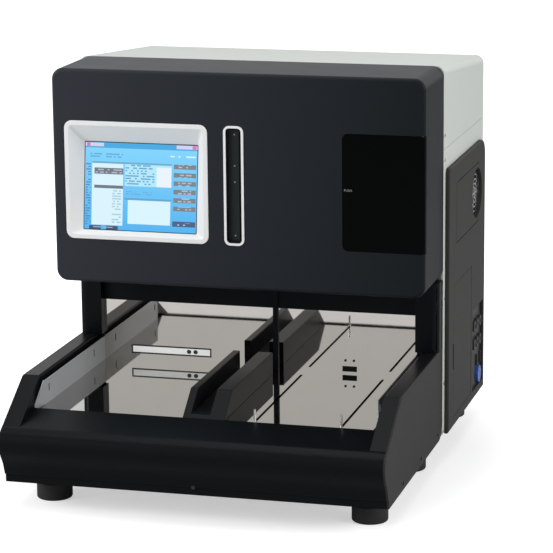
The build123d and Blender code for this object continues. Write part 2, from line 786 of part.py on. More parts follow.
with BuildPart() as cassette_well:
    block(well_x, (well_front_y, well_rear_y), well_z)
    block(
        (well_x[0] + well_wall, well_x[1] - well_wall),
        (well_front_y, well_rear_y - well_wall),
        (well_z[0] + well_wall, well_z[1] - well_wall),
        Mode.SUBTRACT,
    )
    block(
        (drum_centre[0] - drum_length / 2, drum_centre[0] + drum_length / 2),
        (drum_centre[1] - exit_slot / 2, drum_centre[1] + exit_slot / 2),
        (well_z[0], well_z[0] + well_wall),
        Mode.SUBTRACT,
    )
    rod("X", (drum_centre[1], drum_z), well_x, axle_radius + running_gap, Mode.SUBTRACT)
    block((latch_x, well_x[0]), sleeve_y, (latch_z - sleeve_radius, latch_z + sleeve_radius))
    rod("Y", (latch_x, latch_z), sleeve_y, sleeve_radius)
    rod("Y", (latch_x, latch_z), sleeve_y, plunger_radius + running_gap, Mode.SUBTRACT)
save(cassette_well.part, "cassette_well")

# Slotted feed drum on its axle: it picks one test strip at a time.
drum_grooves = 8
groove_cut = 2.4
drum_x = (drum_centre[0] - drum_length / 2, drum_centre[0] + drum_length / 2)
with BuildPart() as feed_drum:
    rod("X", (drum_centre[1], drum_z), drum_x, drum_radius)
    with BuildSketch(Plane.YZ.offset(drum_x[0])):
        with Locations((drum_centre[1], drum_z)):
            with PolarLocations(drum_radius, drum_grooves):
                Rectangle(2 * groove_cut, groove_cut)
    extrude(amount=drum_length, mode=Mode.SUBTRACT)
    rod("X", (drum_centre[1], drum_z), well_x, axle_radius)
save(feed_drum.part, "feed_drum")

# Strip cassette: a hopper on two feet that slides in above the drum, with a grip on its front.
hopper_gap = 3.0
hopper_front_gap = 9.0
hopper_lift = 4.0  # hopper floor above the drum
grip_size = (28.0, 6.0, 12.0)
grip_drop = 20.0
cassette_foot = 12.0
hopper_x = (well_x[0] + well_wall + hopper_gap, well_x[1] - well_wall - hopper_gap)
hopper_y = (well_front_y + hopper_front_gap, well_rear_y - well_wall)
hopper_z = (drum_z + drum_radius + hopper_lift, well_z[1] - well_wall - hopper_gap)

with BuildPart() as strip_cassette:
    block(hopper_x, hopper_y, hopper_z)
    block(
        (hopper_x[0] + well_wall, hopper_x[1] - well_wall),
        (hopper_y[0] + well_wall, hopper_y[1] - well_wall),
        (hopper_z[0] + well_wall, hopper_z[1]),
        Mode.SUBTRACT,
    )
    block(
        drum_x,
        (drum_centre[1] - exit_slot, drum_centre[1] + exit_slot),
        (hopper_z[0], hopper_z[0] + well_wall),
        Mode.SUBTRACT,
    )
    block(
        (drum_centre[0] - grip_size[0] / 2, drum_centre[0] + grip_size[0] / 2),
        (hopper_y[0] - grip_size[1], hopper_y[0]),
        (hopper_z[1] - grip_drop - grip_size[2], hopper_z[1] - grip_drop),
    )
    for edge in (hopper_x[0], hopper_x[1] - well_wall):
        foot = (edge, edge + well_wall)
        block(foot, (hopper_y[0], hopper_y[0] + cassette_foot), (well_z[0] + well_wall, hopper_z[0]))
save(strip_cassette.part, "strip_cassette")

# Push latch: a sprung plunger that runs in the sleeve beside the well, behind the door's strike.
with BuildPart() as push_latch:
    rod("Y", (latch_x, latch_z), (plunger_front_y, plunger_front_y + plunger_length), plunger_radius)
save(push_latch.part, "push_latch")

# ======== Casing =======================================================================

# Pale top cover: a pressed lid whose roof falls towards the back, open below and in front.
roof_front_z = cover_top_z
roof_rear_z = cover_top_z - roof_fall
roof_edge = 12.0


def lid_solid(inset, front):
    """The lid's outline, shrunk by inset on every closed side."""
    with BuildPart(mode=Mode.PRIVATE) as lid:
        with BuildSketch(Plane.YZ.offset(inset - half)):
            with BuildLine():
                Polyline(
                    (front, seam_z),
                    (front, roof_front_z - inset),
                    (rear_reach - inset, roof_rear_z - inset),
                    (rear_reach - inset, seam_z),
                    close=True,
                )
            make_face()
        extrude(amount=2 * (half - inset))
        fillet(lid.edges().filter_by(Axis.Z).group_by(Axis.Y)[-1], radius=rear_corner - inset)
        roof = lid.faces().sort_by(Axis.Z)[-1]
        fillet(roof.edges().filter_by(GeomType.LINE).sort_by(Axis.Y)[1:], radius=roof_edge - inset)
    return lid.part


strip_screw_y = 37.0
lid_screw_rise = 21.0
lid_screw_z = seam_z + lid_screw_rise
seam_screw_drop = 16.0
strip_screw_z = (seam_z - seam_screw_drop, 256.0, 124.5)

with BuildPart() as top_cover:
    add(lid_solid(0, rim_y))
    add(lid_solid(casing_wall, rim_y - open_cut), mode=Mode.SUBTRACT)
    rod("X", (strip_screw_y, lid_screw_z), (-half, half), screw_hole, Mode.SUBTRACT)
save(top_cover.part, "top_cover")

# Pale body cover: the sides and the back below the seam, with windows for the service bay,
# the fan, the sockets and the rear panel.
bay_margin = 12.0
bay_y = (access_front + bay_margin, access_rear - bay_margin)
bay_z = (access_bottom + bay_margin, access_top - bay_margin)
rear_window_inset = 50.0
rear_window_half = half - rear_window_inset
rear_window_low_z = 90.0
rear_window_drop = 30.0  # seam to the window's upper edge
rear_window_z = (rear_window_low_z, seam_z - rear_window_drop)
vent_step = 2.0
fan_bore = vent_radius - vent_step
seam_gap = 0.6
panel_overlap = 12.0
rear_screw_x = rear_window_half + panel_overlap / 2
rear_screw_z = (rear_window_z[0] - panel_overlap / 2, rear_window_z[1] + panel_overlap / 2)
rear_screws = [(x, z) for x in (-rear_screw_x, rear_screw_x) for z in rear_screw_z]

with BuildPart() as body_cover:
    block((-half, half), (rim_y, rear_reach), (casing_bottom_z, seam_z - seam_gap))
    fillet(body_cover.edges().filter_by(Axis.Z).group_by(Axis.Y)[-1], radius=rear_corner)
    with BuildSketch(Plane.XY.offset(casing_bottom_z)):
        with BuildLine():
            inner_half = half - casing_wall
            inner_rear = rear_reach - casing_wall
            Polyline(
                (-inner_half, rim_y),
                (-inner_half, inner_rear),
                (inner_half, inner_rear),
                (inner_half, rim_y),
                close=True,
            )
        inner_face = make_face()
        fillet(inner_face.vertices().group_by(Axis.Y)[-1], radius=rear_corner - casing_wall)
    extrude(amount=seam_z - casing_bottom_z, mode=Mode.SUBTRACT)
    block((half - casing_wall, half), bay_y, bay_z, Mode.SUBTRACT)
    rod("X", vent_centre, (half - casing_wall, half), fan_bore, Mode.SUBTRACT)
    block((-rear_window_half, rear_window_half), (inner_rear, rear_reach), rear_window_z, Mode.SUBTRACT)
    for z in strip_screw_z:
        rod("X", (strip_screw_y, z), (-half, half), screw_hole, Mode.SUBTRACT)
    for place in rear_screws:
        rod("Y", place, (inner_rear, rear_reach), screw_hole, Mode.SUBTRACT)
save(body_cover.part, "body_cover")

# Dark moulded side shells over the casing: a skin on a raised border.
shell_y = (rim_y + shell_front_gap, rear_reach - shell_rear_gap)
shell_z = (shell_bottom_z, shell_top_z)
shell_outer = half + shell_proud
shell_edge = 3.0
border = 5.0


def shell_blank():
    """The outline shared by both side shells, hollow behind its skin."""
    with BuildPart(mode=Mode.PRIVATE) as shell:
        block((half, shell_outer), shell_y, shell_z)
        front_corner, back_corner = shell.edges().filter_by(Axis.X).group_by(Axis.Z)[-1].sort_by(Axis.Y)
        fillet(front_corner, radius=shell_corner_front)
        back_corner = shell.edges().filter_by(Axis.X).group_by(Axis.Z)[-1].sort_by(Axis.Y)[-1]
        fillet(back_corner, radius=shell_corner_rear)
        fillet(shell.faces().sort_by(Axis.X)[-1].edges(), radius=shell_edge)
        block(
            (half, shell_outer - shell_skin),
            (shell_y[0] + border, shell_y[1] - border),
            (shell_z[0] + border, shell_z[1] - shell_corner_rear),
            Mode.SUBTRACT,
        )
    return shell.part


access_z = (access_bottom, access_top)
access_barrel = 1.9
access_pin_x = shell_outer - access_barrel
access_pin_radius = 1.0
access_pin_y = access_rear - access_barrel
frame_width = 4.0
knuckle = 8.0
panel_groove = 1.6
panel_groove_depth = 1.0
panel_front_inset = 55.0
panel_rear_inset = 55.0
panel_half_height = 47.0
panel_rise = 0.5  # grooved panel's middle above the vent's
panel_y = (shell_y[0] + panel_front_inset, shell_y[1] - panel_rear_inset)
panel_middle = ((panel_y[0] + panel_y[1]) / 2, vent_centre[1] + panel_rise)

with BuildPart() as side_shell_right:
    add(shell_blank())
    rod("X", vent_centre, (half, shell_outer), vent_radius + frame_width, Mode.ADD)
    rod("X", vent_centre, (half, shell_outer), vent_radius, Mode.SUBTRACT)
    block(
        (half, shell_outer),
        (access_front - frame_width - finger_slot[0], access_rear + frame_width),
        (access_bottom - frame_width - knuckle, access_top + frame_width + knuckle),
    )
    block(
        (half, shell_outer),
        (access_front - door_gap, access_rear + door_gap),
        (access_bottom - door_gap, access_top + door_gap),
        Mode.SUBTRACT,
    )
    finger_y = (access_front - finger_slot[0], access_front)
    finger_z = (finger_slot_z - finger_slot[1] / 2, finger_slot_z + finger_slot[1] / 2)
    block((half, shell_outer), finger_y, finger_z, Mode.SUBTRACT)
    block(
        (half, shell_outer),
        (pocket_front - frame_width, pocket_rear + frame_width),
        (pocket_bottom - frame_width, pocket_top + frame_width),
    )
    block((half, shell_outer), (pocket_front, pocket_rear), (pocket_bottom, pocket_top), Mode.SUBTRACT)
    rod(
        "Z",
        (access_pin_x, access_pin_y),
        (access_bottom - knuckle, access_top + knuckle),
        access_pin_radius,
        Mode.SUBTRACT,
    )
    with BuildSketch(Plane.YZ.offset(shell_outer)):
        with Locations(panel_middle):
            Rectangle(panel_y[1] - panel_y[0], 2 * panel_half_height)
            Rectangle(
                panel_y[1] - panel_y[0] - 2 * panel_groove,
                2 * (panel_half_height - panel_groove),
                mode=Mode.SUBTRACT,
            )
        with Locations(vent_centre):
            Circle(vent_radius + frame_width, mode=Mode.SUBTRACT)
    extrude(amount=-panel_groove_depth, mode=Mode.SUBTRACT)
save(side_shell_right.part, "side_shell_right")

with BuildPart() as side_shell_left_hand:
    add(shell_blank())
save(mirrored(side_shell_left_hand.part), "side_shell_left")

# Access door on two pins at its rear edge.
with BuildPart() as access_door:
    block((shell_outer - shell_skin, shell_outer), (access_front, access_pin_y), access_z)
    rod("Z", (access_pin_x, access_pin_y), access_z, access_barrel)
    rod("Z", (access_pin_x, access_pin_y), access_z, access_pin_radius + running_gap, Mode.SUBTRACT)
save(access_door.part, "access_door")

# Steel hinge pins, held in the cover and in the shell: the two doors turn on them.
pin_grip = 18.0
with BuildPart() as hinge_pins:
    cover_pin = (door_pin_x, door_pin_y)
    rod("Z", cover_pin, (door_z[0] - hinge_boss, door_z[0] + pin_grip), hinge_pin_radius)
    rod("Z", cover_pin, (door_z[1] - pin_grip, door_z[1] + hinge_boss), hinge_pin_radius)
    shell_pin = (access_pin_x, access_pin_y)
    rod("Z", shell_pin, (access_bottom - knuckle, access_bottom + pin_grip), access_pin_radius)
    rod("Z", shell_pin, (access_top - pin_grip, access_top + knuckle), access_pin_radius)
save(hinge_pins.part, "hinge_pins")

# Cooling fan behind the side vent: frame, rotor and wire guard.
fan_side = 80.0
fan_depth = 22.0
fan_bore_radius = 36.0
guard_depth = 2.4
fan_outer_x = half - casing_wall
fan_corner = 5.0
hub_setback = 2.0
fan_inner_x = fan_outer_x - fan_depth
stator_radius = 14.0
arm_width = 5.0
arm_depth = 4.0
rotor_axle = 2.5

with BuildPart() as fan_frame:
    fan_y = (vent_centre[0] - fan_side / 2, vent_centre[0] + fan_side / 2)
    fan_z = (vent_centre[1] - fan_side / 2, vent_centre[1] + fan_side / 2)
    add(side_slab(fan_y, fan_z, (fan_inner_x, fan_outer_x), fan_corner))
    rod("X", vent_centre, (fan_inner_x, fan_outer_x), fan_bore_radius, Mode.SUBTRACT)
    rod("X", vent_centre, (fan_inner_x, fan_inner_x + arm_depth), stator_radius)
    arm_x = (fan_inner_x, fan_inner_x + arm_depth)
    block(arm_x, fan_y, (vent_centre[1] - arm_width / 2, vent_centre[1] + arm_width / 2))
    block(arm_x, (vent_centre[0] - arm_width / 2, vent_centre[0] + arm_width / 2), fan_z)
    rod("X", vent_centre, (fan_inner_x, fan_outer_x), rotor_axle + running_gap, Mode.SUBTRACT)
save(fan_frame.part, "fan_frame")

blade_count = 7
blade_reach = 34.5
blade_thickness = 1.6
blade_tilt = 35.0
blade_root = 1.0  # how far a blade is let into the hub
blade_chord = 14.0
blade_middle = (stator_radius + blade_reach) / 2 - blade_root
with BuildPart() as fan_rotor:
    hub_x = (fan_inner_x + arm_depth + seat, fan_outer_x - hub_setback)
    rod("X", vent_centre, hub_x, stator_radius)
    rod("X", vent_centre, (fan_inner_x, hub_x[0]), rotor_axle)
    for index in range(blade_count):
        turn = 360 * index / blade_count
        with Locations(Location(((hub_x[0] + hub_x[1]) / 2, *vent_centre), (turn, 0, 0))):
            with Locations(Location((0, 0, blade_middle), (0, 0, blade_tilt))):
                Box(blade_chord, blade_thickness, blade_reach - stator_radius + 2 * blade_root)
save(fan_rotor.part, "fan_rotor")

guard_rings = (8.0, 15.0, 22.0, 29.0, 36.0)
guard_wire = 0.9
guard_spokes = 3
guard_x = half + guard_depth / 2
with BuildPart() as fan_guard:
    for radius in guard_rings:
        with BuildSketch(Plane.YZ.offset(half)):
            with Locations(vent_centre):
                Circle(radius + guard_wire)
                Circle(radius - guard_wire, mode=Mode.SUBTRACT)
        extrude(amount=guard_depth)
    for index in range(guard_spokes):
        with Locations(Location((guard_x, *vent_centre), (180 * index / guard_spokes, 0, 0))):
            Box(guard_depth, 2 * (vent_radius - seat), 2 * guard_wire)
save(fan_guard.part, "fan_guard")

# Hose fittings on a dark plate in the side pocket, and the blue waste cap below them.
fitting_plate = 2.0
fitting_radius = 8.5
fitting_bore = 3.5
fitting_pitch = 22.0
fitting_row_z = (160.0, 130.0)
fitting_y = [pocket_front + fitting_pitch * (index + 1) for index in range(3)]
fitting_rows = [(y, z) for z in fitting_row_z for y in fitting_y]
fitting_reach = shell_outer - half
clip_inset = (52.0, 78.0)  # pocket's front edge to each clip
clip_z = 98.0
clip_size = (6.0, 18.0)
clip_wall = 1.5
clip_reach = 4.5
with BuildPart() as hose_fittings:
    block(
        (half, half + fitting_plate),
        (pocket_front, pocket_rear),
        (pocket_bottom, pocket_top),
    )
    for y, z in fitting_rows:
        rod("X", (y, z), (half + fitting_plate, half + fitting_reach), fitting_radius)
        rod("X", (y, z), (half + fitting_plate, half + fitting_reach), fitting_bore, Mode.SUBTRACT)
    clip_x = (half + fitting_plate, half + clip_reach)
    for y in [pocket_front + step for step in clip_inset]:
        for inset, mode in ((0, Mode.ADD), (clip_wall, Mode.SUBTRACT)):
            across = clip_size[0] / 2 - inset
            along = clip_size[1] / 2 - inset
            block(clip_x, (y - across, y + across), (clip_z - along, clip_z + along), mode)
save(hose_fittings.part, "hose_fittings")

cap_inset = 62.0
cap_z = 73.0
cap_centre = (pocket_front + cap_inset, cap_z)
cap_radius = 14.0
cap_lobes = 10
lobe_radius = 2.4
lobe_offset = 1.2
cap_rim = 1.5
cap_edge = 0.6
with BuildPart() as waste_cap:
    cap_x = (half + fitting_plate, half + fitting_reach)
    rod("X", cap_centre, cap_x, cap_radius)
    with BuildSketch(Plane.YZ.offset(cap_x[0] + cap_rim)):
        with Locations(cap_centre):
            with PolarLocations(cap_radius + lobe_offset, cap_lobes):
                Circle(lobe_radius)
    extrude(amount=cap_x[1] - cap_x[0], mode=Mode.SUBTRACT)
    fillet(waste_cap.faces().sort_by(Axis.X)[-1].edges(), radius=cap_edge)
save(waste_cap.part, "waste_cap")

# Rear panel with louvres and cut-outs for the inlet, the switch and the data sockets.
rear_sheet = 1.5
rear_panel_y = (rear_reach - casing_wall - rear_sheet, rear_reach - casing_wall)
louvre_columns = (-120.0, 0.0, 120.0)
louvre_z = 330.0
louvre_size = (70.0, 5.0)
louvre_rows = 8
louvre_pitch = 14.0
inlet_centre = (170.0, 130.0)
inlet_size = (27.0, 20.0)
rocker_centre = (130.0, 130.0)
rocker_size = (14.0, 22.0)
port_centres = ((-60.0, 130.0), (-100.0, 130.0), (-140.0, 130.0))
port_size = (20.0, 14.0)
cut_gap = 0.2

with BuildPart() as rear_panel:
    panel_x = rear_window_half + panel_overlap
    panel_z = (rear_window_z[0] - panel_overlap, rear_window_z[1] + panel_overlap)
    block((-panel_x, panel_x), rear_panel_y, panel_z)
    with BuildSketch(Plane.XZ.offset(-rear_panel_y[1])):
        for column in louvre_columns:
            with Locations((column, louvre_z)):
                with GridLocations(louvre_size[0], louvre_pitch, 1, louvre_rows):
                    SlotOverall(*louvre_size)
    extrude(amount=casing_wall, mode=Mode.SUBTRACT)
    for centre, size in ((inlet_centre, inlet_size), (rocker_centre, rocker_size)):
        block(
            (centre[0] - size[0] / 2 - cut_gap, centre[0] + size[0] / 2 + cut_gap),
            rear_panel_y,
            (centre[1] - size[1] / 2 - cut_gap, centre[1] + size[1] / 2 + cut_gap),
            Mode.SUBTRACT,
        )
    for x, z in port_centres:
        block(
            (x - port_size[0] / 2 - cut_gap, x + port_size[0] / 2 + cut_gap),
            rear_panel_y,
            (z - port_size[1] / 2 - cut_gap, z + port_size[1] / 2 + cut_gap),
            Mode.SUBTRACT,
        )
    for place in rear_screws:
        rod("Y", place, rear_panel_y, screw_hole, Mode.SUBTRACT)
save(rear_panel.part, "rear_panel")

# Three-pin power inlet: a flanged socket with its pins.
inlet_depth = 24.0
inlet_flange = 5.0
inlet_corner = 3.0
inlet_cavity = (22.0, 15.0, 17.0)
blade_pin = (2.0, 4.0, 12.0)
blade_pin_steps = ((-7.0, -2.0), (0.0, 2.0), (7.0, -2.0))
flange_y = (rear_panel_y[1], rear_reach + rear_fittings_proud)


def inlet_span(axis, reach):
    """Low and high faces of the inlet along X (0) or Z (1), reach away from its middle."""
    return (inlet_centre[axis] - reach, inlet_centre[axis] + reach)


with BuildPart() as power_inlet:
    flange_x = inlet_span(0, inlet_size[0] / 2 + inlet_flange)
    flange_z = inlet_span(1, inlet_size[1] / 2 + inlet_flange)
    add(rounded_slab(flange_x, flange_z, flange_y, inlet_corner))
    block(
        inlet_span(0, inlet_size[0] / 2),
        (flange_y[0] - inlet_depth, flange_y[0]),
        inlet_span(1, inlet_size[1] / 2),
    )
    cavity_y = (flange_y[1] - inlet_cavity[2], flange_y[1])
    block(inlet_span(0, inlet_cavity[0] / 2), cavity_y, inlet_span(1, inlet_cavity[1] / 2), Mode.SUBTRACT)
    for step, lift in blade_pin_steps:
        x = inlet_centre[0] + step
        z = inlet_centre[1] + lift
        block(
            (x - blade_pin[0] / 2, x + blade_pin[0] / 2),
            (cavity_y[0], cavity_y[0] + blade_pin[2]),
            (z - blade_pin[1] / 2, z + blade_pin[1] / 2),
        )
save(power_inlet.part, "power_inlet")

# Power rocker in its frame: it tips about a cross pin.
rocker_wall = 1.5
rocker_lip = 2.0
rocker_frame_depth = 14.0
rocker_pivot_depth = 3.0
rocker_frame_y = (rear_panel_y[1] - rocker_frame_depth, rear_panel_y[1] + rocker_lip)
rocker_pivot_y = rear_panel_y[1] - rocker_pivot_depth
rocker_pin = 1.2
with BuildPart() as rocker_frame:
    rocker_x = (rocker_centre[0] - rocker_size[0] / 2, rocker_centre[0] + rocker_size[0] / 2)
    rocker_z = (rocker_centre[1] - rocker_size[1] / 2, rocker_centre[1] + rocker_size[1] / 2)
    block(rocker_x, (rocker_frame_y[0], rear_panel_y[1]), rocker_z)
    block(
        (rocker_x[0] - rocker_lip, rocker_x[1] + rocker_lip),
        (rear_panel_y[1], rocker_frame_y[1]),
        (rocker_z[0] - rocker_lip, rocker_z[1] + rocker_lip),
    )
    block(
        (rocker_x[0] + rocker_wall, rocker_x[1] - rocker_wall),
        (rocker_frame_y[0] + rocker_wall, rocker_frame_y[1]),
        (rocker_z[0] + rocker_wall, rocker_z[1] - rocker_wall),
        Mode.SUBTRACT,
    )
    rod("X", (rocker_pivot_y, rocker_centre[1]), rocker_x, rocker_pin + running_gap, Mode.SUBTRACT)
save(rocker_frame.part, "rocker_frame")

rocker_end_gap = 1.2
rocker_root = 2.5
rocker_waist = 3.0
rocker_skirt = 1.5
rocker_crown = 0.5
rocker_dip = 1.2
rocker_throw = 9.0  # degrees each side of the middle
with BuildPart() as power_rocker:
    paddle_x = (rocker_x[0] + rocker_wall + seat, rocker_x[1] - rocker_wall - seat)
    paddle_reach = rocker_size[1] / 2 - rocker_wall - rocker_end_gap
    crown_y = rocker_frame_y[1] + rocker_crown
    with BuildSketch(Plane.YZ.offset(paddle_x[0])):
        with BuildLine():
            Polyline(
                (rocker_pivot_y - rocker_root, rocker_centre[1] - rocker_waist),
                (rocker_pivot_y + rocker_skirt, rocker_centre[1] - paddle_reach),
                (crown_y, rocker_centre[1] - paddle_reach),
                (crown_y - rocker_dip, rocker_centre[1]),
                (crown_y, rocker_centre[1] + paddle_reach),
                (rocker_pivot_y + rocker_skirt, rocker_centre[1] + paddle_reach),
                (rocker_pivot_y - rocker_root, rocker_centre[1] + rocker_waist),
                close=True,
            )
        make_face()
    extrude(amount=paddle_x[1] - paddle_x[0])
    rod("X", (rocker_pivot_y, rocker_centre[1]), rocker_x, rocker_pin)
pivot = Axis((0, rocker_pivot_y, rocker_centre[1]), (1, 0, 0))
save(power_rocker.part.rotate(pivot, rocker_throw), "power_rocker")

# Data sockets: three open metal shells on the rear panel.
port_depth = 14.0
port_wall = 1.6
port_proud = 1.0
port_y = (rear_panel_y[0] - port_depth, rear_panel_y[1] + port_proud)
with BuildPart() as data_ports:
    for x, z in port_centres:
        block(
            (x - port_size[0] / 2, x + port_size[0] / 2),
            port_y,
            (z - port_size[1] / 2, z + port_size[1] / 2),
        )
        block(
            (x - port_size[0] / 2 + port_wall, x + port_size[0] / 2 - port_wall),
            (port_y[0] + port_wall, port_y[1]),
            (z - port_size[1] / 2 + port_wall, z + port_size[1] / 2 - port_wall),
            Mode.SUBTRACT,
        )
save(data_ports.part, "data_ports")

# Screws: round heads with a cross recess, over the panels, the pale strip and the rear panel.
recess = (0.8, 3.6)  # width and length of each arm of the cross
recess_depth = 0.8
rear_screw_shank = casing_wall + rear_sheet
side_screws = [(y, z, panel_sheet) for y, z in panel_screws]
side_screws += [(strip_screw_y, z, casing_wall) for z in (lid_screw_z, *strip_screw_z)]


def cross_recess(axis, place, span):
    """The cross cut into a screw head that faces along X or Y."""
    for wide, tall in (recess, recess[::-1]):
        across = (place[0] - wide / 2, place[0] + wide / 2)
        up = (place[1] - tall / 2, place[1] + tall / 2)
        if axis == "X":
            block(span, across, up, Mode.SUBTRACT)
        else:
            block(across, span, up, Mode.SUBTRACT)


with BuildPart() as case_screws:
    for y, z, shank in side_screws:
        for side in (-1, 1):
            rod("X", (y, z), sorted((side * half, side * (half + screw_head))), case_head_radius)
            rod("X", (y, z), sorted((side * half, side * (half - shank))), screw_radius)
            top = side * (half + screw_head)
            cross_recess("X", (y, z), sorted((top, top - side * recess_depth)))
    rod("Y", (0, skirt_z), (apron_screw_y - screw_head, apron_screw_y), case_head_radius)
    rod("Y", (0, skirt_z), (apron_screw_y, apron_screw_y + nose_wall), screw_radius)
    cross_recess("Y", (0, skirt_z), (apron_screw_y - screw_head, apron_screw_y - screw_head + recess_depth))
    for place in rear_screws:
        rod("Y", place, (rear_reach, rear_reach + screw_head), case_head_radius)
        rod("Y", place, (rear_reach - rear_screw_shank, rear_reach), screw_radius)
        cross_recess("Y", place, (rear_reach + screw_head - recess_depth, rear_reach + screw_head))
save(case_screws.part, "case_screws")

# ======== Inside =======================================================================

# Aluminium cross rail on the bulkhead, with the bracket and pin of the idler pulley.
rail_rise = 24.0  # belt's axis up to the rail
rail_height = 30.0
rail_depth = 10.0
rail_overhang = 20.0
rail_z = (belt_z + rail_rise, belt_z + rail_rise + rail_height)
rail_half = gantry_x + rail_overhang
rail_y = (bulkhead_y - rail_depth, bulkhead_y)
pulley_radius = 10.0
idler_pin_radius = 3.0
bracket_sheet = 3.0
bracket_half = 15.0
bracket_drop = 14.0
bracket_low_z = belt_z - bracket_drop
belt_thickness = 1.4
belt_y = (10.5, 17.5)
flange_sheet = 1.0
pulley_y = (belt_y[0] - flange_sheet, belt_y[1] + flange_sheet)
idler_pin_proud = 1.5
idler_pin_y = (pulley_y[0] - idler_pin_proud, bulkhead_y)
with BuildPart() as gantry_rail:
    block((-rail_half, rail_half), rail_y, rail_z)
    bracket_x = (gantry_x - bracket_half, gantry_x + bracket_half)
    block(bracket_x, (bulkhead_y - bracket_sheet, bulkhead_y), (bracket_low_z, rail_z[0]))
    rod("Y", (gantry_x, belt_z), idler_pin_y, idler_pin_radius)
save(gantry_rail.part, "gantry_rail")

# Probe carriage: slides along the rail, clamps the belt and carries the upright guide bars.
tower_x = -80.0
tower_width = 34.0
tower_y = (-2.0, 6.0)
tower_drop = 86.0
tower_rise = 84.0
tower_z = (belt_z - tower_drop, belt_z + tower_rise)
belt_low = belt_z - pulley_radius - belt_thickness
guide_radius = 4.0
guide_spread = 10.0
guide_x = (tower_x - guide_spread, tower_x + guide_spread)
guide_y = -8.0
guide_block = 6.0  # height and front reach of the two end blocks
needle_radius = 1.5
needle_at = (tower_x, -5.0)
needle_hole = 2.5
guide_inset = 1.0  # the bars end this far inside the end blocks
slider_inset = 2.0
clamp_half = 8.0
clamp_height = 5.0
with BuildPart() as probe_carriage:
    tower_span = (tower_x - tower_width / 2, tower_x + tower_width / 2)
    block(tower_span, tower_y, tower_z)
    slider_z = (rail_z[0] + slider_inset, rail_z[1] - slider_inset)
    slider_x = (tower_span[0] + slider_inset, tower_span[1] - slider_inset)
    block(slider_x, (tower_y[1], rail_y[0] - seat), slider_z)
    for z in (tower_z[0], tower_z[1] - guide_block):
        block(slider_x, (guide_y - guide_block, tower_y[0]), (z, z + guide_block))
    for x in guide_x:
        rod("Z", (x, guide_y), (tower_z[0] + guide_inset, tower_z[1] - guide_inset), guide_radius)
    clamp_x = (tower_x - clamp_half, tower_x + clamp_half)
    block(clamp_x, (tower_y[1], belt_y[1]), (belt_low - clamp_height, belt_low - seat))
    rod("Z", needle_at, (tower_z[0], tower_z[0] + guide_block), needle_hole, Mode.SUBTRACT)
save(probe_carriage.part, "probe_carriage")

# Probe block and its steel needle: they slide down the two guide bars.
needle_clearance = 4.0  # raised needle above the cover's floor
probe_block_height = 26.0
probe_block_drop = 10.0
probe_block_reach = 9.0
probe_block_inset = 1.0
needle_tip_z = cover_bottom_z + cover_wall + needle_clearance
probe_block_top_z = tower_z[1] - probe_block_drop
probe_block_z = (probe_block_top_z - probe_block_height, probe_block_top_z)
probe_block_y = (guide_y - probe_block_reach, tower_y[0] - seat)
with BuildPart() as probe_arm:
    block_x = (tower_span[0] + probe_block_inset, tower_span[1] - probe_block_inset)
    block(block_x, probe_block_y, probe_block_z)
    for x in guide_x:
        rod("Z", (x, guide_y), probe_block_z, guide_radius + running_gap, Mode.SUBTRACT)
    rod("Z", needle_at, (needle_tip_z, probe_block_z[0]), needle_radius)
save(probe_arm.part, "probe_arm")

# Belt pulleys: the driven one carries its shaft, the idler turns on the bracket's pin.
shaft_radius = 2.5
motor_front_y = bulkhead_y + bulkhead_sheet
motor_corner = 4.0
flange_reach = 1.8


def pulley(x):
    """A flanged belt pulley centred on x."""
    with BuildPart(mode=Mode.PRIVATE) as wheel:
        rod("Y", (x, belt_z), pulley_y, pulley_radius)
        for low in (pulley_y[0], belt_y[1]):
            rod("Y", (x, belt_z), (low, low + flange_sheet), pulley_radius + flange_reach)
    return wheel.part


with BuildPart() as drive_pulley:
    add(pulley(-gantry_x))
    rod("Y", (-gantry_x, belt_z), (belt_y[1], motor_front_y + motor_length / 2), shaft_radius)
save(drive_pulley.part, "drive_pulley")

with BuildPart() as idler_pulley:
    add(pulley(gantry_x))
    rod("Y", (gantry_x, belt_z), idler_pin_y, idler_pin_radius + running_gap, Mode.SUBTRACT)
save(idler_pulley.part, "idler_pulley")

# Toothed belt around the two pulleys.
belt_edge = 0.3
belt_inner = pulley_radius + running_gap
belt_outer = belt_inner + belt_thickness
with BuildPart() as gantry_belt:
    with BuildSketch(Plane.XZ.offset(belt_edge - belt_y[1])):
        with Locations((0, belt_z)):
            SlotOverall(2 * (gantry_x + belt_outer), 2 * belt_outer)
            SlotOverall(2 * (gantry_x + belt_inner), 2 * belt_inner, mode=Mode.SUBTRACT)
    extrude(amount=belt_y[1] - belt_y[0] - 2 * belt_edge)
save(gantry_belt.part, "gantry_belt")

# Rack pusher under the right tray: a bar with two pins through the slots, on two round rails,
# moved by a lead screw below it.
rail_radius = 4.0
pusher_rail_z = 110.0
rail_spread = 31.0
pusher_rail_x = (screw_x - rail_spread, screw_x + rail_spread)
lead_screw_radius = 4.0
with BuildPart() as pusher_rails:
    for x in pusher_rail_x:
        rod("Y", (x, pusher_rail_z), (pan_front_y + pan_sheet, rack_wall_y), rail_radius)
save(pusher_rails.part, "pusher_rails")

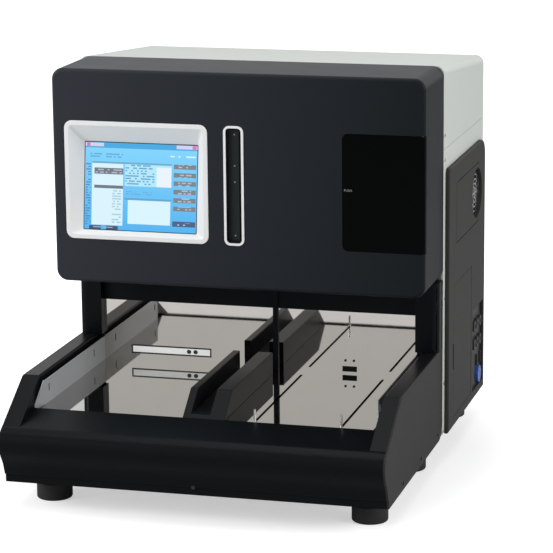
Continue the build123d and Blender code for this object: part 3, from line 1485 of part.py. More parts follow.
bar_y = slot_span[0] + slot_width / 2
bar_setback = 5.5
bar_front_y = bar_y - bar_setback
bar_length = 14.0
bar_overhang = 6.0
bar_half_height = 9.0
bar_z = (pusher_rail_z - bar_half_height, pusher_rail_z + bar_half_height)
nut_half = 9.0
with BuildPart() as rack_pusher:
    bar_span = (bar_front_y, bar_front_y + bar_length)
    block((slot_centres[0] - bar_overhang, slot_centres[1] + bar_overhang), bar_span, bar_z)
    block((screw_x - nut_half, screw_x + nut_half), bar_span, (screw_z - nut_half, bar_z[0]))
    for x in pusher_rail_x:
        rod("Y", (x, pusher_rail_z), bar_span, rail_radius + running_gap, Mode.SUBTRACT)
    rod("Y", (screw_x, screw_z), bar_span, lead_screw_radius + running_gap, Mode.SUBTRACT)
    for x in slot_centres:
        rod("Z", (x, bar_y), (bar_z[1], floor_z + pin_rise), pin_radius)
save(rack_pusher.part, "rack_pusher")

pusher_motor_y = (rack_wall_y + pan_sheet, rack_wall_y + pan_sheet + motor_length)
screw_end_gap = 2.0
screw_tip_y = pan_front_y + pan_sheet + screw_end_gap
with BuildPart() as lead_screw:
    rod("Y", (screw_x, screw_z), (screw_tip_y, rack_wall_y - screw_end_gap), lead_screw_radius)
    rod("Y", (screw_x, screw_z), (screw_tip_y, pusher_motor_y[0] + motor_length / 2), journal_radius)
save(lead_screw.part, "lead_screw")

# Stepper motors of the probe's belt and of the pusher's screw.
with BuildPart() as drive_motors:
    motor_places = (
        (-gantry_x, belt_z, (motor_front_y, motor_front_y + motor_length)),
        (screw_x, screw_z, pusher_motor_y),
    )
    for x, z, span in motor_places:
        motor_x = (x - motor_side / 2, x + motor_side / 2)
        add(rounded_slab(motor_x, (z - motor_side / 2, z + motor_side / 2), span, motor_corner))
        rod("Y", (x, z), span, shaft_radius + running_gap, Mode.SUBTRACT)
save(drive_motors.part, "drive_motors")

# Strip deck with its grooves and legs, and the optical reader head over it.
deck_rise = 11.0
deck_sheet = 4.0
deck_low_z = cover_bottom_z + deck_rise
deck_z = (deck_low_z, deck_low_z + deck_sheet)
deck_half = 140.0
deck_rear_inset = 65.0
deck_y = (motor_front_y, rear_reach - deck_rear_inset)
leg_side = 12.0
strip_grooves = 15
groove_pitch = 16.0
strip_groove = (6.0, 82.0, 1.5)
groove_front_gap = 8.0
head_size = (120.0, 90.0, 60.0)
head_setback = 100.0
head_y = deck_y[0] + head_setback
lens_radius = 14.0
lens_reach = 14.0
with BuildPart() as optical_reader:
    block((-deck_half, deck_half), deck_y, deck_z)
    for index in range(strip_grooves):
        middle = (index - (strip_grooves - 1) / 2) * groove_pitch
        block(
            (middle - strip_groove[0] / 2, middle + strip_groove[0] / 2),
            (deck_y[0] + groove_front_gap, deck_y[0] + groove_front_gap + strip_groove[1]),
            (deck_z[1] - strip_groove[2], deck_z[1]),
            Mode.SUBTRACT,
        )
    for side in (-1, 1):
        leg = sorted((side * deck_half, side * (deck_half - leg_side)))
        block(leg, (deck_y[1] - leg_side, deck_y[1]), (base_z + pan_sheet, deck_z[0]))
    head_z = (deck_z[1], deck_z[1] + head_size[2])
    block((-head_size[0] / 2, head_size[0] / 2), (head_y, head_y + head_size[1]), head_z)
    rod("Y", (0, (head_z[0] + head_z[1]) / 2), (head_y - lens_reach, head_y), lens_radius)
save(optical_reader.part, "optical_reader")

# Power supply: a perforated box on the pan.
shelf_z = base_z + pan_sheet
supply_size = (80.0, 190.0, 45.0)
supply_side_inset = 48.0
supply_front_inset = 225.0
supply_corner = (supply_side_inset - half, rear_reach - supply_front_inset)
vent_hole = 3.5
vent_grid = (12.0, 20.0, 5, 7)
vent_depth = 2.0
with BuildPart() as power_supply:
    supply_x = (supply_corner[0], supply_corner[0] + supply_size[0])
    supply_y = (supply_corner[1], supply_corner[1] + supply_size[1])
    block(supply_x, supply_y, (shelf_z, shelf_z + supply_size[2]))
    with BuildSketch(Plane.XY.offset(shelf_z + supply_size[2])):
        with Locations(((supply_x[0] + supply_x[1]) / 2, (supply_y[0] + supply_y[1]) / 2)):
            with GridLocations(*vent_grid):
                Circle(vent_hole)
    extrude(amount=-vent_depth, mode=Mode.SUBTRACT)
save(power_supply.part, "power_supply")

# Main board on four posts, with its chips, connector and capacitors.
board_x = (-80.0, 120.0)
board_rear_inset = 35.0
board_length = 170.0
board_y = (rear_reach - board_rear_inset - board_length, rear_reach - board_rear_inset)
board_lift = 10.0
board_sheet = 1.6
post_inset = 8.0
post_radius = 3.0
board_top_z = shelf_z + board_lift + board_sheet
chips = (((-30.0, 0.0), (70.0, 100.0), 4.0), ((30.0, 70.0), (30.0, 50.0), 6.0))  # X, depth, height
capacitors = (-60.0, -48.0, 90.0, 102.0)
capacitor_inset = 30.0
capacitor_y = board_y[1] - capacitor_inset
capacitor_size = (4.5, 14.0)
with BuildPart() as main_board:
    block(board_x, board_y, (board_top_z - board_sheet, board_top_z))
    for x in (board_x[0] + post_inset, board_x[1] - post_inset):
        for y in (board_y[0] + post_inset, board_y[1] - post_inset):
            rod("Z", (x, y), (shelf_z, board_top_z - board_sheet), post_radius)
    for chip_x, depth, chip_height in chips:
        chip_y = (board_y[0] + depth[0], board_y[0] + depth[1])
        block(chip_x, chip_y, (board_top_z, board_top_z + chip_height))
    for x in capacitors:
        rod("Z", (x, capacitor_y), (board_top_z, board_top_z + capacitor_size[1]), capacitor_size[0])
save(main_board.part, "main_board")

# Wash pump in the service bay: a base, a drum-shaped motor with its head, and two hose stubs.
pump_side_inset = 40.0  # casing side to the pump's head
pump_length = 35.0
pump_front_gap = 29.0
pump_width = 74.0
pump_base_height = 40.0
pump_base_step = 10.0
pump_axis_rise = 74.0
pump_axis_z = shelf_z + pump_axis_rise
pump_radius = 32.0
head_radius = 24.0
pump_head_length = 12.0
pump_x = (half - pump_side_inset - pump_length, half - pump_side_inset)
pump_y = (access_front + pump_front_gap, access_front + pump_front_gap + pump_width)
pump_head_x = (pump_x[1], pump_x[1] + pump_head_length)
stub_radius = 3.0
stub_rise = 56.0
stub_spread = 14.0
with BuildPart() as wash_pump:
    pump_middle_y = (pump_y[0] + pump_y[1]) / 2
    block((pump_x[0], pump_head_x[1] + pump_base_step), pump_y, (shelf_z, shelf_z + pump_base_height))
    block(pump_x, (pump_y[0] + post_inset, pump_y[1] - post_inset), (shelf_z, pump_axis_z))
    rod("X", (pump_middle_y, pump_axis_z), pump_x, pump_radius)
    rod("X", (pump_middle_y, pump_axis_z), pump_head_x, head_radius)
    for side in (-1, 1):
        middle_x = (pump_head_x[0] + pump_head_x[1]) / 2
        stub_y = pump_middle_y + side * stub_spread
        rod("Z", (middle_x, stub_y), (pump_axis_z, pump_axis_z + stub_rise), stub_radius)
save(wash_pump.part, "wash_pump")
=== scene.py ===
import math

import bpy
from mathutils import Matrix, Vector


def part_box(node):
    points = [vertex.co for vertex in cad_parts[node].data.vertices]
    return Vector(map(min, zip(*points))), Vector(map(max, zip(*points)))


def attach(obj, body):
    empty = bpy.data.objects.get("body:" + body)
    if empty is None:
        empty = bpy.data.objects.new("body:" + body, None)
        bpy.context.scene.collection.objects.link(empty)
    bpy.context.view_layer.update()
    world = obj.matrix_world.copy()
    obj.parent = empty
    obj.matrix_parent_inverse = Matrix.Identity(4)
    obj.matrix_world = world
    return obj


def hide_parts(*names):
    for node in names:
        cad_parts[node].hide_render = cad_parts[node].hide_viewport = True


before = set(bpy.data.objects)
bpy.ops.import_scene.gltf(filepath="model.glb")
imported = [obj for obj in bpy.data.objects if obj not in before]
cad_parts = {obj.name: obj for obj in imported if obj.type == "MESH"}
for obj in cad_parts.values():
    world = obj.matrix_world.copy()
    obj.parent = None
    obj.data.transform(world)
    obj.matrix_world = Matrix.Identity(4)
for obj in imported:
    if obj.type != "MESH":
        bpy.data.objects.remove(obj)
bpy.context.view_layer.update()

# ---- Studio ----------------------------------------------------------------------------
# The instrument stands on a pale sweep that fades to white. A long lens looks at it from a
# little above and from the operator's right, and soft boxes hang at the left and overhead.
camera_place = Vector((1.0314, -3.6717, 1.1530))
yaw = math.radians(15.22)
dip = math.radians(12.86)
roll = math.radians(-0.54)
photo_width = 553
focal_pixels = 2609
sensor = 36.0

ahead = Vector((-math.sin(yaw) * math.cos(dip), math.cos(yaw) * math.cos(dip), -math.sin(dip)))
level = Vector((math.cos(yaw), math.sin(yaw), 0))
upward = level.cross(ahead)
right = level * math.cos(roll) + upward * math.sin(roll)
top = upward * math.cos(roll) - level * math.sin(roll)

bpy.ops.object.camera_add(location=camera_place)
camera = bpy.context.active_object
camera.name = "photo_camera"
turn = Matrix((right, top, -ahead)).transposed()
camera.matrix_world = Matrix.Translation(camera_place) @ turn.to_4x4()
camera.data.sensor_width = sensor
camera.data.sensor_fit = "HORIZONTAL"
camera.data.lens = sensor * focal_pixels / photo_width
camera.data.clip_end = 60
bpy.context.scene.camera = camera
bpy.context.scene.view_settings.view_transform = "Standard"


class Flow:
    """A socket of a finish: its sums and comparisons become Math nodes."""

    def __init__(self, finish, socket):
        self.finish = finish
        self.socket = socket

    def maths(self, how, first, second):
        return self.finish.node("ShaderNodeMath", {"operation": how}, {0: first, 1: second})

    def __add__(self, other):
        return self.maths("ADD", self, other)

    def __sub__(self, other):
        return self.maths("SUBTRACT", self, other)

    def __rsub__(self, other):
        return self.maths("SUBTRACT", other, self)

    def __mul__(self, other):
        return self.maths("MULTIPLY", self, other)

    def __truediv__(self, other):
        return self.maths("DIVIDE", self, other)

    def __mod__(self, other):
        return self.maths("FLOORED_MODULO", self, other)

    def __gt__(self, other):
        return self.maths("GREATER_THAN", self, other)

    def __lt__(self, other):
        return self.maths("LESS_THAN", self, other)

    __radd__ = __add__
    __rmul__ = __mul__


class Finish:
    """A surface finish: a Principled shader and the nodes that vary it over the piece."""

    def __init__(self, name, constants):
        self.material = bpy.data.materials.new(name)
        self.material.use_nodes = True
        self.tree = self.material.node_tree
        self.shader = self.tree.nodes["Principled BSDF"]
        self.give(constants)

    def give(self, values):
        for socket, value in values.items():
            self.feed(self.shader.inputs[socket], value)

    def feed(self, socket, value):
        if isinstance(value, Flow):
            self.tree.links.new(value.socket, socket)
        elif socket.type == "RGBA" and len(value) == 3:
            socket.default_value = (*value, 1)
        else:
            socket.default_value = value

    def node(self, kind, settings, sockets, output=0):
        made = self.tree.nodes.new(kind)
        for name, value in settings.items():
            setattr(made, name, value)
        for socket, value in sockets.items():
            self.feed(made.inputs[socket], value)
        return Flow(self, made.outputs[output])

    def place(self, stretch=(1, 1, 1)):
        here = self.node("ShaderNodeTexCoord", {}, {}, "Object")
        return self.node("ShaderNodeMapping", {}, {"Vector": here, "Scale": stretch})

    def cloud(self, size, stretch=(1, 1, 1), detail=2.0):
        """Soft noise between 0 and 1, its lumps about size metres across."""
        sockets = {"Vector": self.place(stretch), "Scale": 1 / size, "Detail": detail}
        return self.node("ShaderNodeTexNoise", {}, sockets)

    def axis(self, name):
        """Where a point lies along X, Y or Z of the instrument, in metres."""
        here = self.node("ShaderNodeTexCoord", {}, {}, "Object")
        return self.node("ShaderNodeSeparateXYZ", {}, {"Vector": here}, name)

    def blend(self, factor, first, second):
        settings = {"data_type": "RGBA"}
        return self.node("ShaderNodeMix", settings, {0: factor, 6: first, 7: second}, 2)

    def relief(self, height, depth, strength=1.0):
        sockets = {"Strength": strength, "Distance": depth, "Height": height}
        self.give({"Normal": self.node("ShaderNodeBump", {}, sockets)})


def shade(colour, gain):
    return tuple(part * gain for part in colour)


bpy.ops.object.select_all(action="DESELECT")
sweep_reach = 12.0
bpy.ops.mesh.primitive_plane_add(size=2 * sweep_reach, location=(0, 0, 0))
sweep = bpy.context.active_object
sweep.name = "studio_floor"
paper = Finish("studio_paper", {"Roughness": 0.9, "Specular IOR Level": 0.1, "Emission Strength": 1.0})
paper.give({"Base Color": paper.blend(paper.cloud(0.9), (0.80, 0.80, 0.80), (0.83, 0.83, 0.83))})
seen = paper.node("ShaderNodeLightPath", {}, {}, "Is Camera Ray")
here = paper.node("ShaderNodeTexCoord", {}, {}, "Object")
away = paper.node("ShaderNodeVectorMath", {"operation": "LENGTH"}, {0: here}, 1)
fade_start, fade_end = 0.33, 0.68
fade = paper.node("ShaderNodeMapRange", {}, {0: away, 1: fade_start, 2: fade_end, 3: 0.0, 4: 1.0})
paper_glow = paper.blend(fade, (0.50, 0.50, 0.50), (1, 1, 1))
paper.give({"Emission Color": paper.blend(seen, (0, 0, 0), paper_glow)})
sweep.data.materials.append(paper.material)

world = bpy.data.worlds.new("studio_air")
world.use_nodes = True
bpy.context.scene.world = world
air = world.node_tree
backdrop = air.nodes["Background"]
ambient = air.nodes.new("ShaderNodeBackground")
rays = air.nodes.new("ShaderNodeLightPath")
backdrop.inputs["Color"].default_value = (1, 1, 1, 1)
backdrop.inputs["Strength"].default_value = 1.0
ambient.inputs["Color"].default_value = (0.96, 0.98, 1.0, 1)
ambient.inputs["Strength"].default_value = 0.24
either = air.nodes.new("ShaderNodeMath")
either.operation = "MAXIMUM"
air.links.new(rays.outputs["Is Camera Ray"], either.inputs[0])
air.links.new(rays.outputs["Is Glossy Ray"], either.inputs[1])
any_clear = air.nodes.new("ShaderNodeMath")
any_clear.operation = "MAXIMUM"
air.links.new(either.outputs[0], any_clear.inputs[0])
air.links.new(rays.outputs["Is Transmission Ray"], any_clear.inputs[1])
choose = air.nodes.new("ShaderNodeMixShader")
air.links.new(any_clear.outputs[0], choose.inputs[0])
air.links.new(ambient.outputs[0], choose.inputs[1])
air.links.new(backdrop.outputs[0], choose.inputs[2])
air.links.new(choose.outputs[0], air.nodes["World Output"].inputs["Surface"])

soft_boxes = (
    ("left_box", (-2.9, -2.3, 1.7), 1.6, 90.0),
    ("top_box", (-0.1, -0.3, 3.2), 2.4, 32.0),
    ("right_box", (3.2, -0.8, 1.6), 1.6, 60.0),
)
aim = Vector((0, -0.05, 0.25))
for name, place, size, power in soft_boxes:
    bpy.ops.object.light_add(type="AREA", location=place)
    lamp = bpy.context.active_object
    lamp.name = name
    lamp.data.size = size
    lamp.data.energy = power
    lamp.rotation_euler = (aim - Vector(place)).to_track_quat("-Z", "Y").to_euler()

# ---- Feet ------------------------------------------------------------------------------
# Six black rubber feet, moulded as a wide pad on a narrower neck, screwed under the pan.
# The rubber is dull, with fine dust-like mottling.


def moulded(name, colour, roughness, grain=0.0006, depth=0.00002, mottle=0.08, extra=None):
    """Moulded plastic or rubber: a fine spark texture and a slightly uneven tone."""
    finish = Finish(name, {"Specular IOR Level": 0.4})
    patches = finish.cloud(0.06)
    fine = finish.cloud(grain, detail=1.0)
    finish.give({"Base Color": finish.blend(patches, shade(colour, 1 - mottle), shade(colour, 1 + mottle))})
    finish.give({"Roughness": roughness - 0.03 + 0.06 * patches})
    finish.relief(fine, depth)
    finish.give(extra or {})
    return finish.material


def dress(material, *nodes):
    """Give CAD pieces their finish."""
    for node in nodes:
        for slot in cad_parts[node].material_slots:
            slot.material = material


dress(moulded("rubber", (0.012, 0.012, 0.013), 0.75, mottle=0.25), "feet")

# ---- Base pan --------------------------------------------------------------------------
# A folded tray of zinc-plated sheet under everything, with upright ribs for the tray floors.
# The plating is a dull silver with faint rolling lines.


def sheet_metal(name, colour, roughness, stretch=(1, 1, 1), lines=0.0004, depth=0.000004, metal=1.0):
    """Rolled, ground or drawn metal: fine lines that run along the least stretched axis."""
    finish = Finish(name, {"Metallic": metal})
    streaks = finish.cloud(lines, stretch, 3.0)
    patches = finish.cloud(0.05)
    finish.give({"Base Color": finish.blend(streaks, shade(colour, 0.93), shade(colour, 1.05))})
    finish.give({"Roughness": roughness - 0.04 + 0.05 * patches + 0.03 * streaks})
    finish.relief(streaks, depth)
    return finish.material


dress(sheet_metal("zinc_sheet", (0.50, 0.50, 0.51), 0.38, (0.02, 1, 1)), "base_pan", "bulkhead")

# ---- Dark mouldings round the trays ------------------------------------------------------
# The apron with its bright rounded nose, the side walls, their flat cover panels and the
# divider are black-grey injection mouldings with rounded edges.


def softened(node, width, material, body="cabinet", crease=28):
    """A copy of a CAD solid with its sharp edges rounded, shown in the solid's place."""
    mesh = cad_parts[node].data.copy()
    piece = bpy.data.objects.new(node + "_finished", mesh)
    bpy.context.scene.collection.objects.link(piece)
    bpy.ops.object.select_all(action="DESELECT")
    piece.select_set(True)
    bpy.context.view_layer.objects.active = piece
    bpy.ops.mesh.customdata_custom_splitnormals_clear()
    bpy.ops.object.mode_set(mode="EDIT")
    bpy.ops.mesh.select_all(action="SELECT")
    bpy.ops.mesh.remove_doubles(threshold=0.00001)
    bpy.ops.mesh.dissolve_limited(angle_limit=math.radians(0.4))
    bpy.ops.mesh.normals_make_consistent(inside=False)
    bpy.ops.object.mode_set(mode="OBJECT")
    edges = piece.modifiers.new("rounded_edges", "BEVEL")
    edges.width = width
    edges.segments = 2
    edges.limit_method = "ANGLE"
    edges.angle_limit = math.radians(crease)
    bpy.ops.object.modifier_apply(modifier=edges.name)
    bpy.ops.object.shade_smooth_by_angle(angle=math.radians(crease))
    flats = piece.modifiers.new("flat_faces", "WEIGHTED_NORMAL")
    flats.keep_sharp = True
    flats.weight = 100
    bpy.ops.object.modifier_apply(modifier=flats.name)
    piece.data.materials.clear()
    piece.data.materials.append(material)
    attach(piece, body)
    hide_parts(node)
    return piece


dull = {"Specular IOR Level": 0.07}
satin = {"Specular IOR Level": 0.06}
dark_moulding = moulded("dark_moulding", (0.0050, 0.0056, 0.0062), 0.34, depth=0.00001, extra=dull)
apron_gloss = moulded("apron_gloss", (0.0034, 0.0044, 0.0052), 0.30, depth=0.000006, extra=satin)
# The right side panel gets a lighter grey than the left one's black-grey: painted light for the lamp-lit
# panel.
painted_light_panel_grey = moulded("painted_light_panel_grey", (0.027, 0.0265, 0.026), 0.5, extra=dull)
softened("front_apron", 0.0012, apron_gloss)
for node in ("tray_wall_left", "tray_wall_right", "side_panel_left"):
    softened(node, 0.0008, dark_moulding)
softened("side_panel_right", 0.0008, painted_light_panel_grey)
softened("tray_divider", 0.0012, dark_moulding)

# ---- Tray liners -------------------------------------------------------------------------
# Thin grey-coated sheets that stand inside the walls, chamfered in front and slotted for
# their screws.
liner_coat = moulded("liner_coat", (0.31, 0.325, 0.335), 0.42, extra={"Metallic": 0.1})
softened("tray_liners", 0.0003, liner_coat)

# ---- Polished tray floors and back plates ------------------------------------------------
# Mirror-polished stainless sheets: two floors, the right one slotted, and two back plates.
# They mirror the walls, the divider and each other, with faint polishing lines.


def polished(name, colour, roughness):
    """Mirror-polished steel with a few faint smears."""
    finish = Finish(name, {"Metallic": 1.0})
    smears = finish.cloud(0.035, (1, 0.3, 1), 4.0)
    finish.give({"Base Color": finish.blend(smears, shade(colour, 0.97), shade(colour, 1.02))})
    finish.give({"Roughness": roughness + 0.02 * smears})
    return finish.material


# The floors get a darker steel tone than the plates' same steel: painted shade that dims their mirror
# image.
dress(polished("polished_floor_painted_shade", (0.44, 0.435, 0.415), 0.02), "tray_floor_left", "tray_floor_right")
dress(polished("polished_plate", (0.66, 0.63, 0.60), 0.02), "back_plate_left", "back_plate_right")

# ---- Rack strip, sensor and centre post --------------------------------------------------
# A white strip on the left plate, edged in black, with two black screws. A small black
# optical sensor sits on the right plate, and a black post and header frame both plates.
strip = Finish("strip_white", {"Roughness": 0.35})
strip_x, strip_z = strip.axis("X"), strip.axis("Z")
face_left, face_right = -0.1995, -0.0765
face_low, face_high = 0.1521, 0.1615
frame_black = (0.006, 0.006, 0.007)
edge_x = (strip_x < face_left) + (strip_x > face_right)
edge_z = (strip_z < face_low) + (strip_z > face_high)
strip_face = strip.blend(strip.cloud(0.01), (0.78, 0.79, 0.79), (0.86, 0.87, 0.87))
strip_face = strip.blend(edge_x + edge_z, strip_face, frame_black)
head_height = 0.1568
head_radius_squared = 0.0000110
for head_x in (-0.1100, -0.0995):
    aside = strip_x - head_x
    above = strip_z - head_height
    on_head = (aside * aside + above * above) < head_radius_squared
    strip_face = strip.blend(on_head, strip_face, frame_black)
# A faint emission makes the white face glow: painted light that lifts it to full white.
strip.give({"Base Color": strip_face, "Emission Color": strip_face, "Emission Strength": 0.22})
dress(strip.material, "rack_strip")
post_black = moulded("post_black", (0.004, 0.005, 0.006), 0.4, extra=dull)
dress(post_black, "rack_sensor", "centre_post")

# ---- Pillars ------------------------------------------------------------------------------
# Two black pillars carry the front cover over the trays, rounded at their outer corner and
# a little glossier than the walls.
pillar_black = moulded("pillar_black", (0.0025, 0.0038, 0.0050), 0.28, depth=0.000006, extra=dull)
for node in ("pillar_left", "pillar_right"):
    softened(node, 0.0008, pillar_black)

# ---- Front cover ---------------------------------------------------------------------------
# One large satin moulding, charcoal, that hangs over the trays and carries the screen, the
# level window and the cassette door. Its colour darkens from the left end to the right one,
# a painted shade for the light falling off across its face.
charcoal = Finish("cover_charcoal", {"Specular IOR Level": 0.12})
left_end, right_end = -0.28, 0.28
span = {0: charcoal.axis("X"), 1: left_end, 2: right_end, 3: 0.0, 4: 1.0}
# Painted shade: the base colour blends darker along X towards the right end.
painted_shade_falloff = charcoal.node("ShaderNodeMapRange", {}, span)
painted_shade_tone = charcoal.blend(painted_shade_falloff, (0.0235, 0.0265, 0.0340), (0.0035, 0.0062, 0.0080))
charcoal.give({"Base Color": painted_shade_tone, "Roughness": 0.43 + 0.06 * charcoal.cloud(0.06)})
charcoal.relief(charcoal.cloud(0.0005, detail=1.0), 0.000015)
softened("front_cover", 0.0007, charcoal.material)

# ---- Screen --------------------------------------------------------------------------------
# A white bezel slopes back to a tilted colour display behind glass. Its page is a plain
# table of results with a column of keys.
bezel_white = moulded("bezel_white", (0.80, 0.81, 0.81), 0.38, mottle=0.02)
dress(bezel_white, "screen_bezel")

screen_low, screen_high = Vector((-0.2370, -0.0960, 0.3640)), Vector((-0.0620, -0.0794, 0.4939))
screen_tilt = math.radians(7.3)
screen_size = (0.175, 0.131)
glass_black = moulded("glass_black", (0.010, 0.012, 0.014), 0.12)
dress(glass_black, "display_panel")

page = Finish("screen_page", {"Base Color": (0.01, 0.01, 0.012), "Roughness": 0.25})
page.give({"Emission Strength": 1.0})
where = page.node("ShaderNodeTexCoord", {}, {}, "Object")
split = {"Vector": where}
across = (page.node("ShaderNodeSeparateXYZ", {}, split, "X") - screen_low.x) / screen_size[0]
rise = (page.node("ShaderNodeSeparateXYZ", {}, split, "Z") - screen_low.z) / (screen_high.z - screen_low.z)


def field(left, right_end, low, high):
    """1 inside a rectangle of the page, 0 outside."""
    return (across > left) * (across < right_end) * (rise > low) * (rise < high)


def words(columns, rows, share):
    """Short dashes in rows, like lines of small print."""
    cell = page.node(
        "ShaderNodeCombineXYZ",
        {},
        {0: page.node("ShaderNodeMath", {"operation": "FLOOR"}, {0: across * columns}),
         1: page.node("ShaderNodeMath", {"operation": "FLOOR"}, {0: rise * rows})},
    )
    dice = page.node("ShaderNodeTexWhiteNoise", {"noise_dimensions": "2D"}, {"Vector": cell})
    return (dice < share) * (((rise * rows) % 1.0) < 0.5)


fine_print = words(columns=58, rows=34, share=0.62)
page_blue = page.blend(rise, (0.050, 0.42, 0.84), (0.20, 0.64, 0.95))
key_start, key_pitch, key_height = 0.250, 0.094, 0.052
key_rows = ((rise - key_start) % key_pitch) < key_height
page_parts = (
    (field(0, 1, 0.93, 1), (0.030, 0.36, 0.72)),
    (field(0, 0.17, 0.945, 0.985), (0.62, 0.60, 0.84)),
    (field(0.81, 1, 0.945, 0.985), (0.62, 0.60, 0.84)),
    (field(0.02, 0.05, 0.94, 0.99) + field(0.95, 0.985, 0.94, 0.99), (0.60, 0.18, 0.42)),
    (field(0.05, 0.34, 0.82, 0.88) * fine_print, (0.09, 0.36, 0.62)),
    (field(0.74, 0.98, 0.84, 0.87) * fine_print, (0.70, 0.92, 1.0)),
    (field(0.07, 0.77, 0.755, 0.775), (0.12, 0.36, 0.56)),
    (field(0.07, 0.345, 0.06, 0.755), (0.66, 0.86, 0.94)),
    (field(0.015, 0.06, 0.06, 0.75) * fine_print, (0.06, 0.22, 0.48)),
    (field(0.09, 0.345, 0.635, 0.705) + field(0.09, 0.345, 0.475, 0.510), (0.13, 0.15, 0.20)),
    (field(0.10, 0.335, 0.635, 0.705) * fine_print, (0.42, 0.46, 0.52)),
    (field(0.25, 0.33, 0.08, 0.46) * fine_print, (0.36, 0.56, 0.70)),
    (field(0.36, 0.77, 0.51, 0.755), (0.42, 0.78, 0.94)),
    (field(0.365, 0.62, 0.52, 0.75) * fine_print, (0.10, 0.33, 0.56)),
    (field(0.64, 0.77, 0.51, 0.73), (0.78, 0.86, 0.93)),
    (field(0.37, 0.60, 0.415, 0.45) * fine_print, (0.10, 0.38, 0.66)),
    (field(0.36, 0.77, 0.355, 0.375), (0.10, 0.33, 0.56)),
    (field(0.39, 0.765, 0.085, 0.352), (0.66, 0.87, 0.98)),
    (field(0.79, 0.985, 0.245, 0.775) * key_rows, (0.17, 0.20, 0.23)),
    (field(0.83, 0.945, 0.245, 0.775) * key_rows * fine_print, (0.45, 0.50, 0.54)),
    (field(0.785, 0.985, 0.075, 0.135), (0.045, 0.09, 0.20)),
    (field(0.83, 0.94, 0.09, 0.12) * fine_print, (0.50, 0.58, 0.72)),
    (field(0.05, 0.155, 0.008, 0.052) + field(0.20, 0.305, 0.008, 0.052), (0.025, 0.055, 0.12)),
    (field(0.08, 0.28, 0.02, 0.04) * fine_print, (0.30, 0.42, 0.60)),
)
for part, colour in page_parts:
    page_blue = page.blend(part, page_blue, colour)
page.give({"Emission Color": page_blue})

bpy.ops.object.select_all(action="DESELECT")
middle = (screen_low + screen_high) / 2
screen_proud = 0.0001
lift = Vector((0, -math.cos(screen_tilt), math.sin(screen_tilt)))
bpy.ops.mesh.primitive_plane_add(
    size=1,
    location=middle + lift * screen_proud,
    rotation=(math.pi / 2 - screen_tilt, 0, 0),
)
screen = bpy.context.active_object
screen.name = "screen_page"
screen.scale = (screen_size[0], screen_size[1], 1)
bpy.ops.object.transform_apply(location=True, rotation=True, scale=True)
screen.data.materials.append(glass_black)
screen.data.materials.append(page.material)
screen_border = 0.0012
bpy.ops.object.mode_set(mode="EDIT")
bpy.ops.mesh.select_all(action="SELECT")
bpy.ops.mesh.inset(thickness=screen_border)
bpy.ops.object.mode_set(mode="OBJECT")
for face in screen.data.polygons:
    face.material_index = 1 if face.select else 0
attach(screen, "cabinet")

# ---- Level window --------------------------------------------------------------------------
# A slim white ring round a dark recess, with a smoked light bar inside.
ring = Finish("ring_white", {"Roughness": 0.4, "Specular IOR Level": 0.3})
ring_white = ring.blend(ring.cloud(0.02), (0.78, 0.79, 0.79), (0.83, 0.84, 0.84))
ring_depth_y = -0.1001
inside_ring = ring.axis("Y") > ring_depth_y
ring.give({"Base Color": ring.blend(inside_ring, ring_white, (0.004, 0.005, 0.005))})
dress(ring.material, "indicator_bezel")
dress(moulded("smoked_lens", (0.022, 0.026, 0.027), 0.30, extra=dull), "indicator_lens")

# ---- Level marks -----------------------------------------------------------------------------
# Four small round light guides set in the smoked window, one per level. Each is a moulded
# pale-grey peg with a rounded rim, pressed flush into the lens.


def rounded(piece, name, width, segments):
    """Name a new piece, set its origin at the instrument's and round its sharp edges."""
    piece.name = name
    bpy.ops.object.transform_apply(location=True, rotation=True, scale=True)
    edges = piece.modifiers.new("rounded_edges", "BEVEL")
    edges.width = width
    edges.segments = segments
    edges.limit_method = "ANGLE"
    bpy.ops.object.modifier_apply(modifier=edges.name)


def lettered(name, text, place, turn, height, material, align="LEFT"):
    """Printed letters as a flat mesh."""
    bpy.ops.object.select_all(action="DESELECT")
    bpy.ops.object.text_add(location=place, rotation=turn)
    letters = bpy.context.active_object
    letters.name = name
    letters.data.body = text
    letters.data.size = height
    letters.data.align_x = align
    bpy.ops.object.convert(target="MESH")
    bpy.ops.object.transform_apply(location=True, rotation=True, scale=True)
    letters.data.materials.append(material)
    return letters


mark_grey = moulded("mark_grey", (0.30, 0.32, 0.32), 0.35, mottle=0.15)
lens_low, lens_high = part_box("indicator_lens")
mark_middle = (lens_low[0] + lens_high[0]) / 2
mark_radius, mark_depth, mark_round = 0.0011, 0.0008, 0.00015
mark_heights = (0.5140, 0.4680, 0.4440, 0.3645)
for index, mark_z in enumerate(mark_heights):
    bpy.ops.object.select_all(action="DESELECT")
    bpy.ops.mesh.primitive_cylinder_add(
        vertices=40,
        radius=mark_radius,
        depth=mark_depth,
        location=(mark_middle, lens_low[1], mark_z),
        rotation=(math.pi / 2, 0, 0),
    )
    mark = bpy.context.active_object
    rounded(mark, "level_mark_%d" % (index + 1), mark_round, 3)
    bpy.ops.object.shade_smooth_by_angle(angle=math.radians(35))
    mark.data.materials.append(mark_grey)
    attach(mark, "cabinet")

# ---- Cassette door ---------------------------------------------------------------------------
# A glossy black door with a barrel hinge along its right edge. A small printed word near its
# free edge shows where to press.
faint = {"Specular IOR Level": 0.03}
door_gloss = moulded("door_gloss", (0.0012, 0.0020, 0.0018), 0.14, depth=0.000001, extra=faint)
softened("cassette_door", 0.0006, door_gloss, "cassette_door")

print_grey = moulded("print_grey", (0.22, 0.23, 0.24), 0.6)
word_place = (0.1670, -0.1001, 0.4380)
facing_front = (math.pi / 2, 0, 0)
word = lettered("push_word", "PUSH", word_place, facing_front, 0.0050, print_grey, "CENTER")
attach(word, "cassette_door")

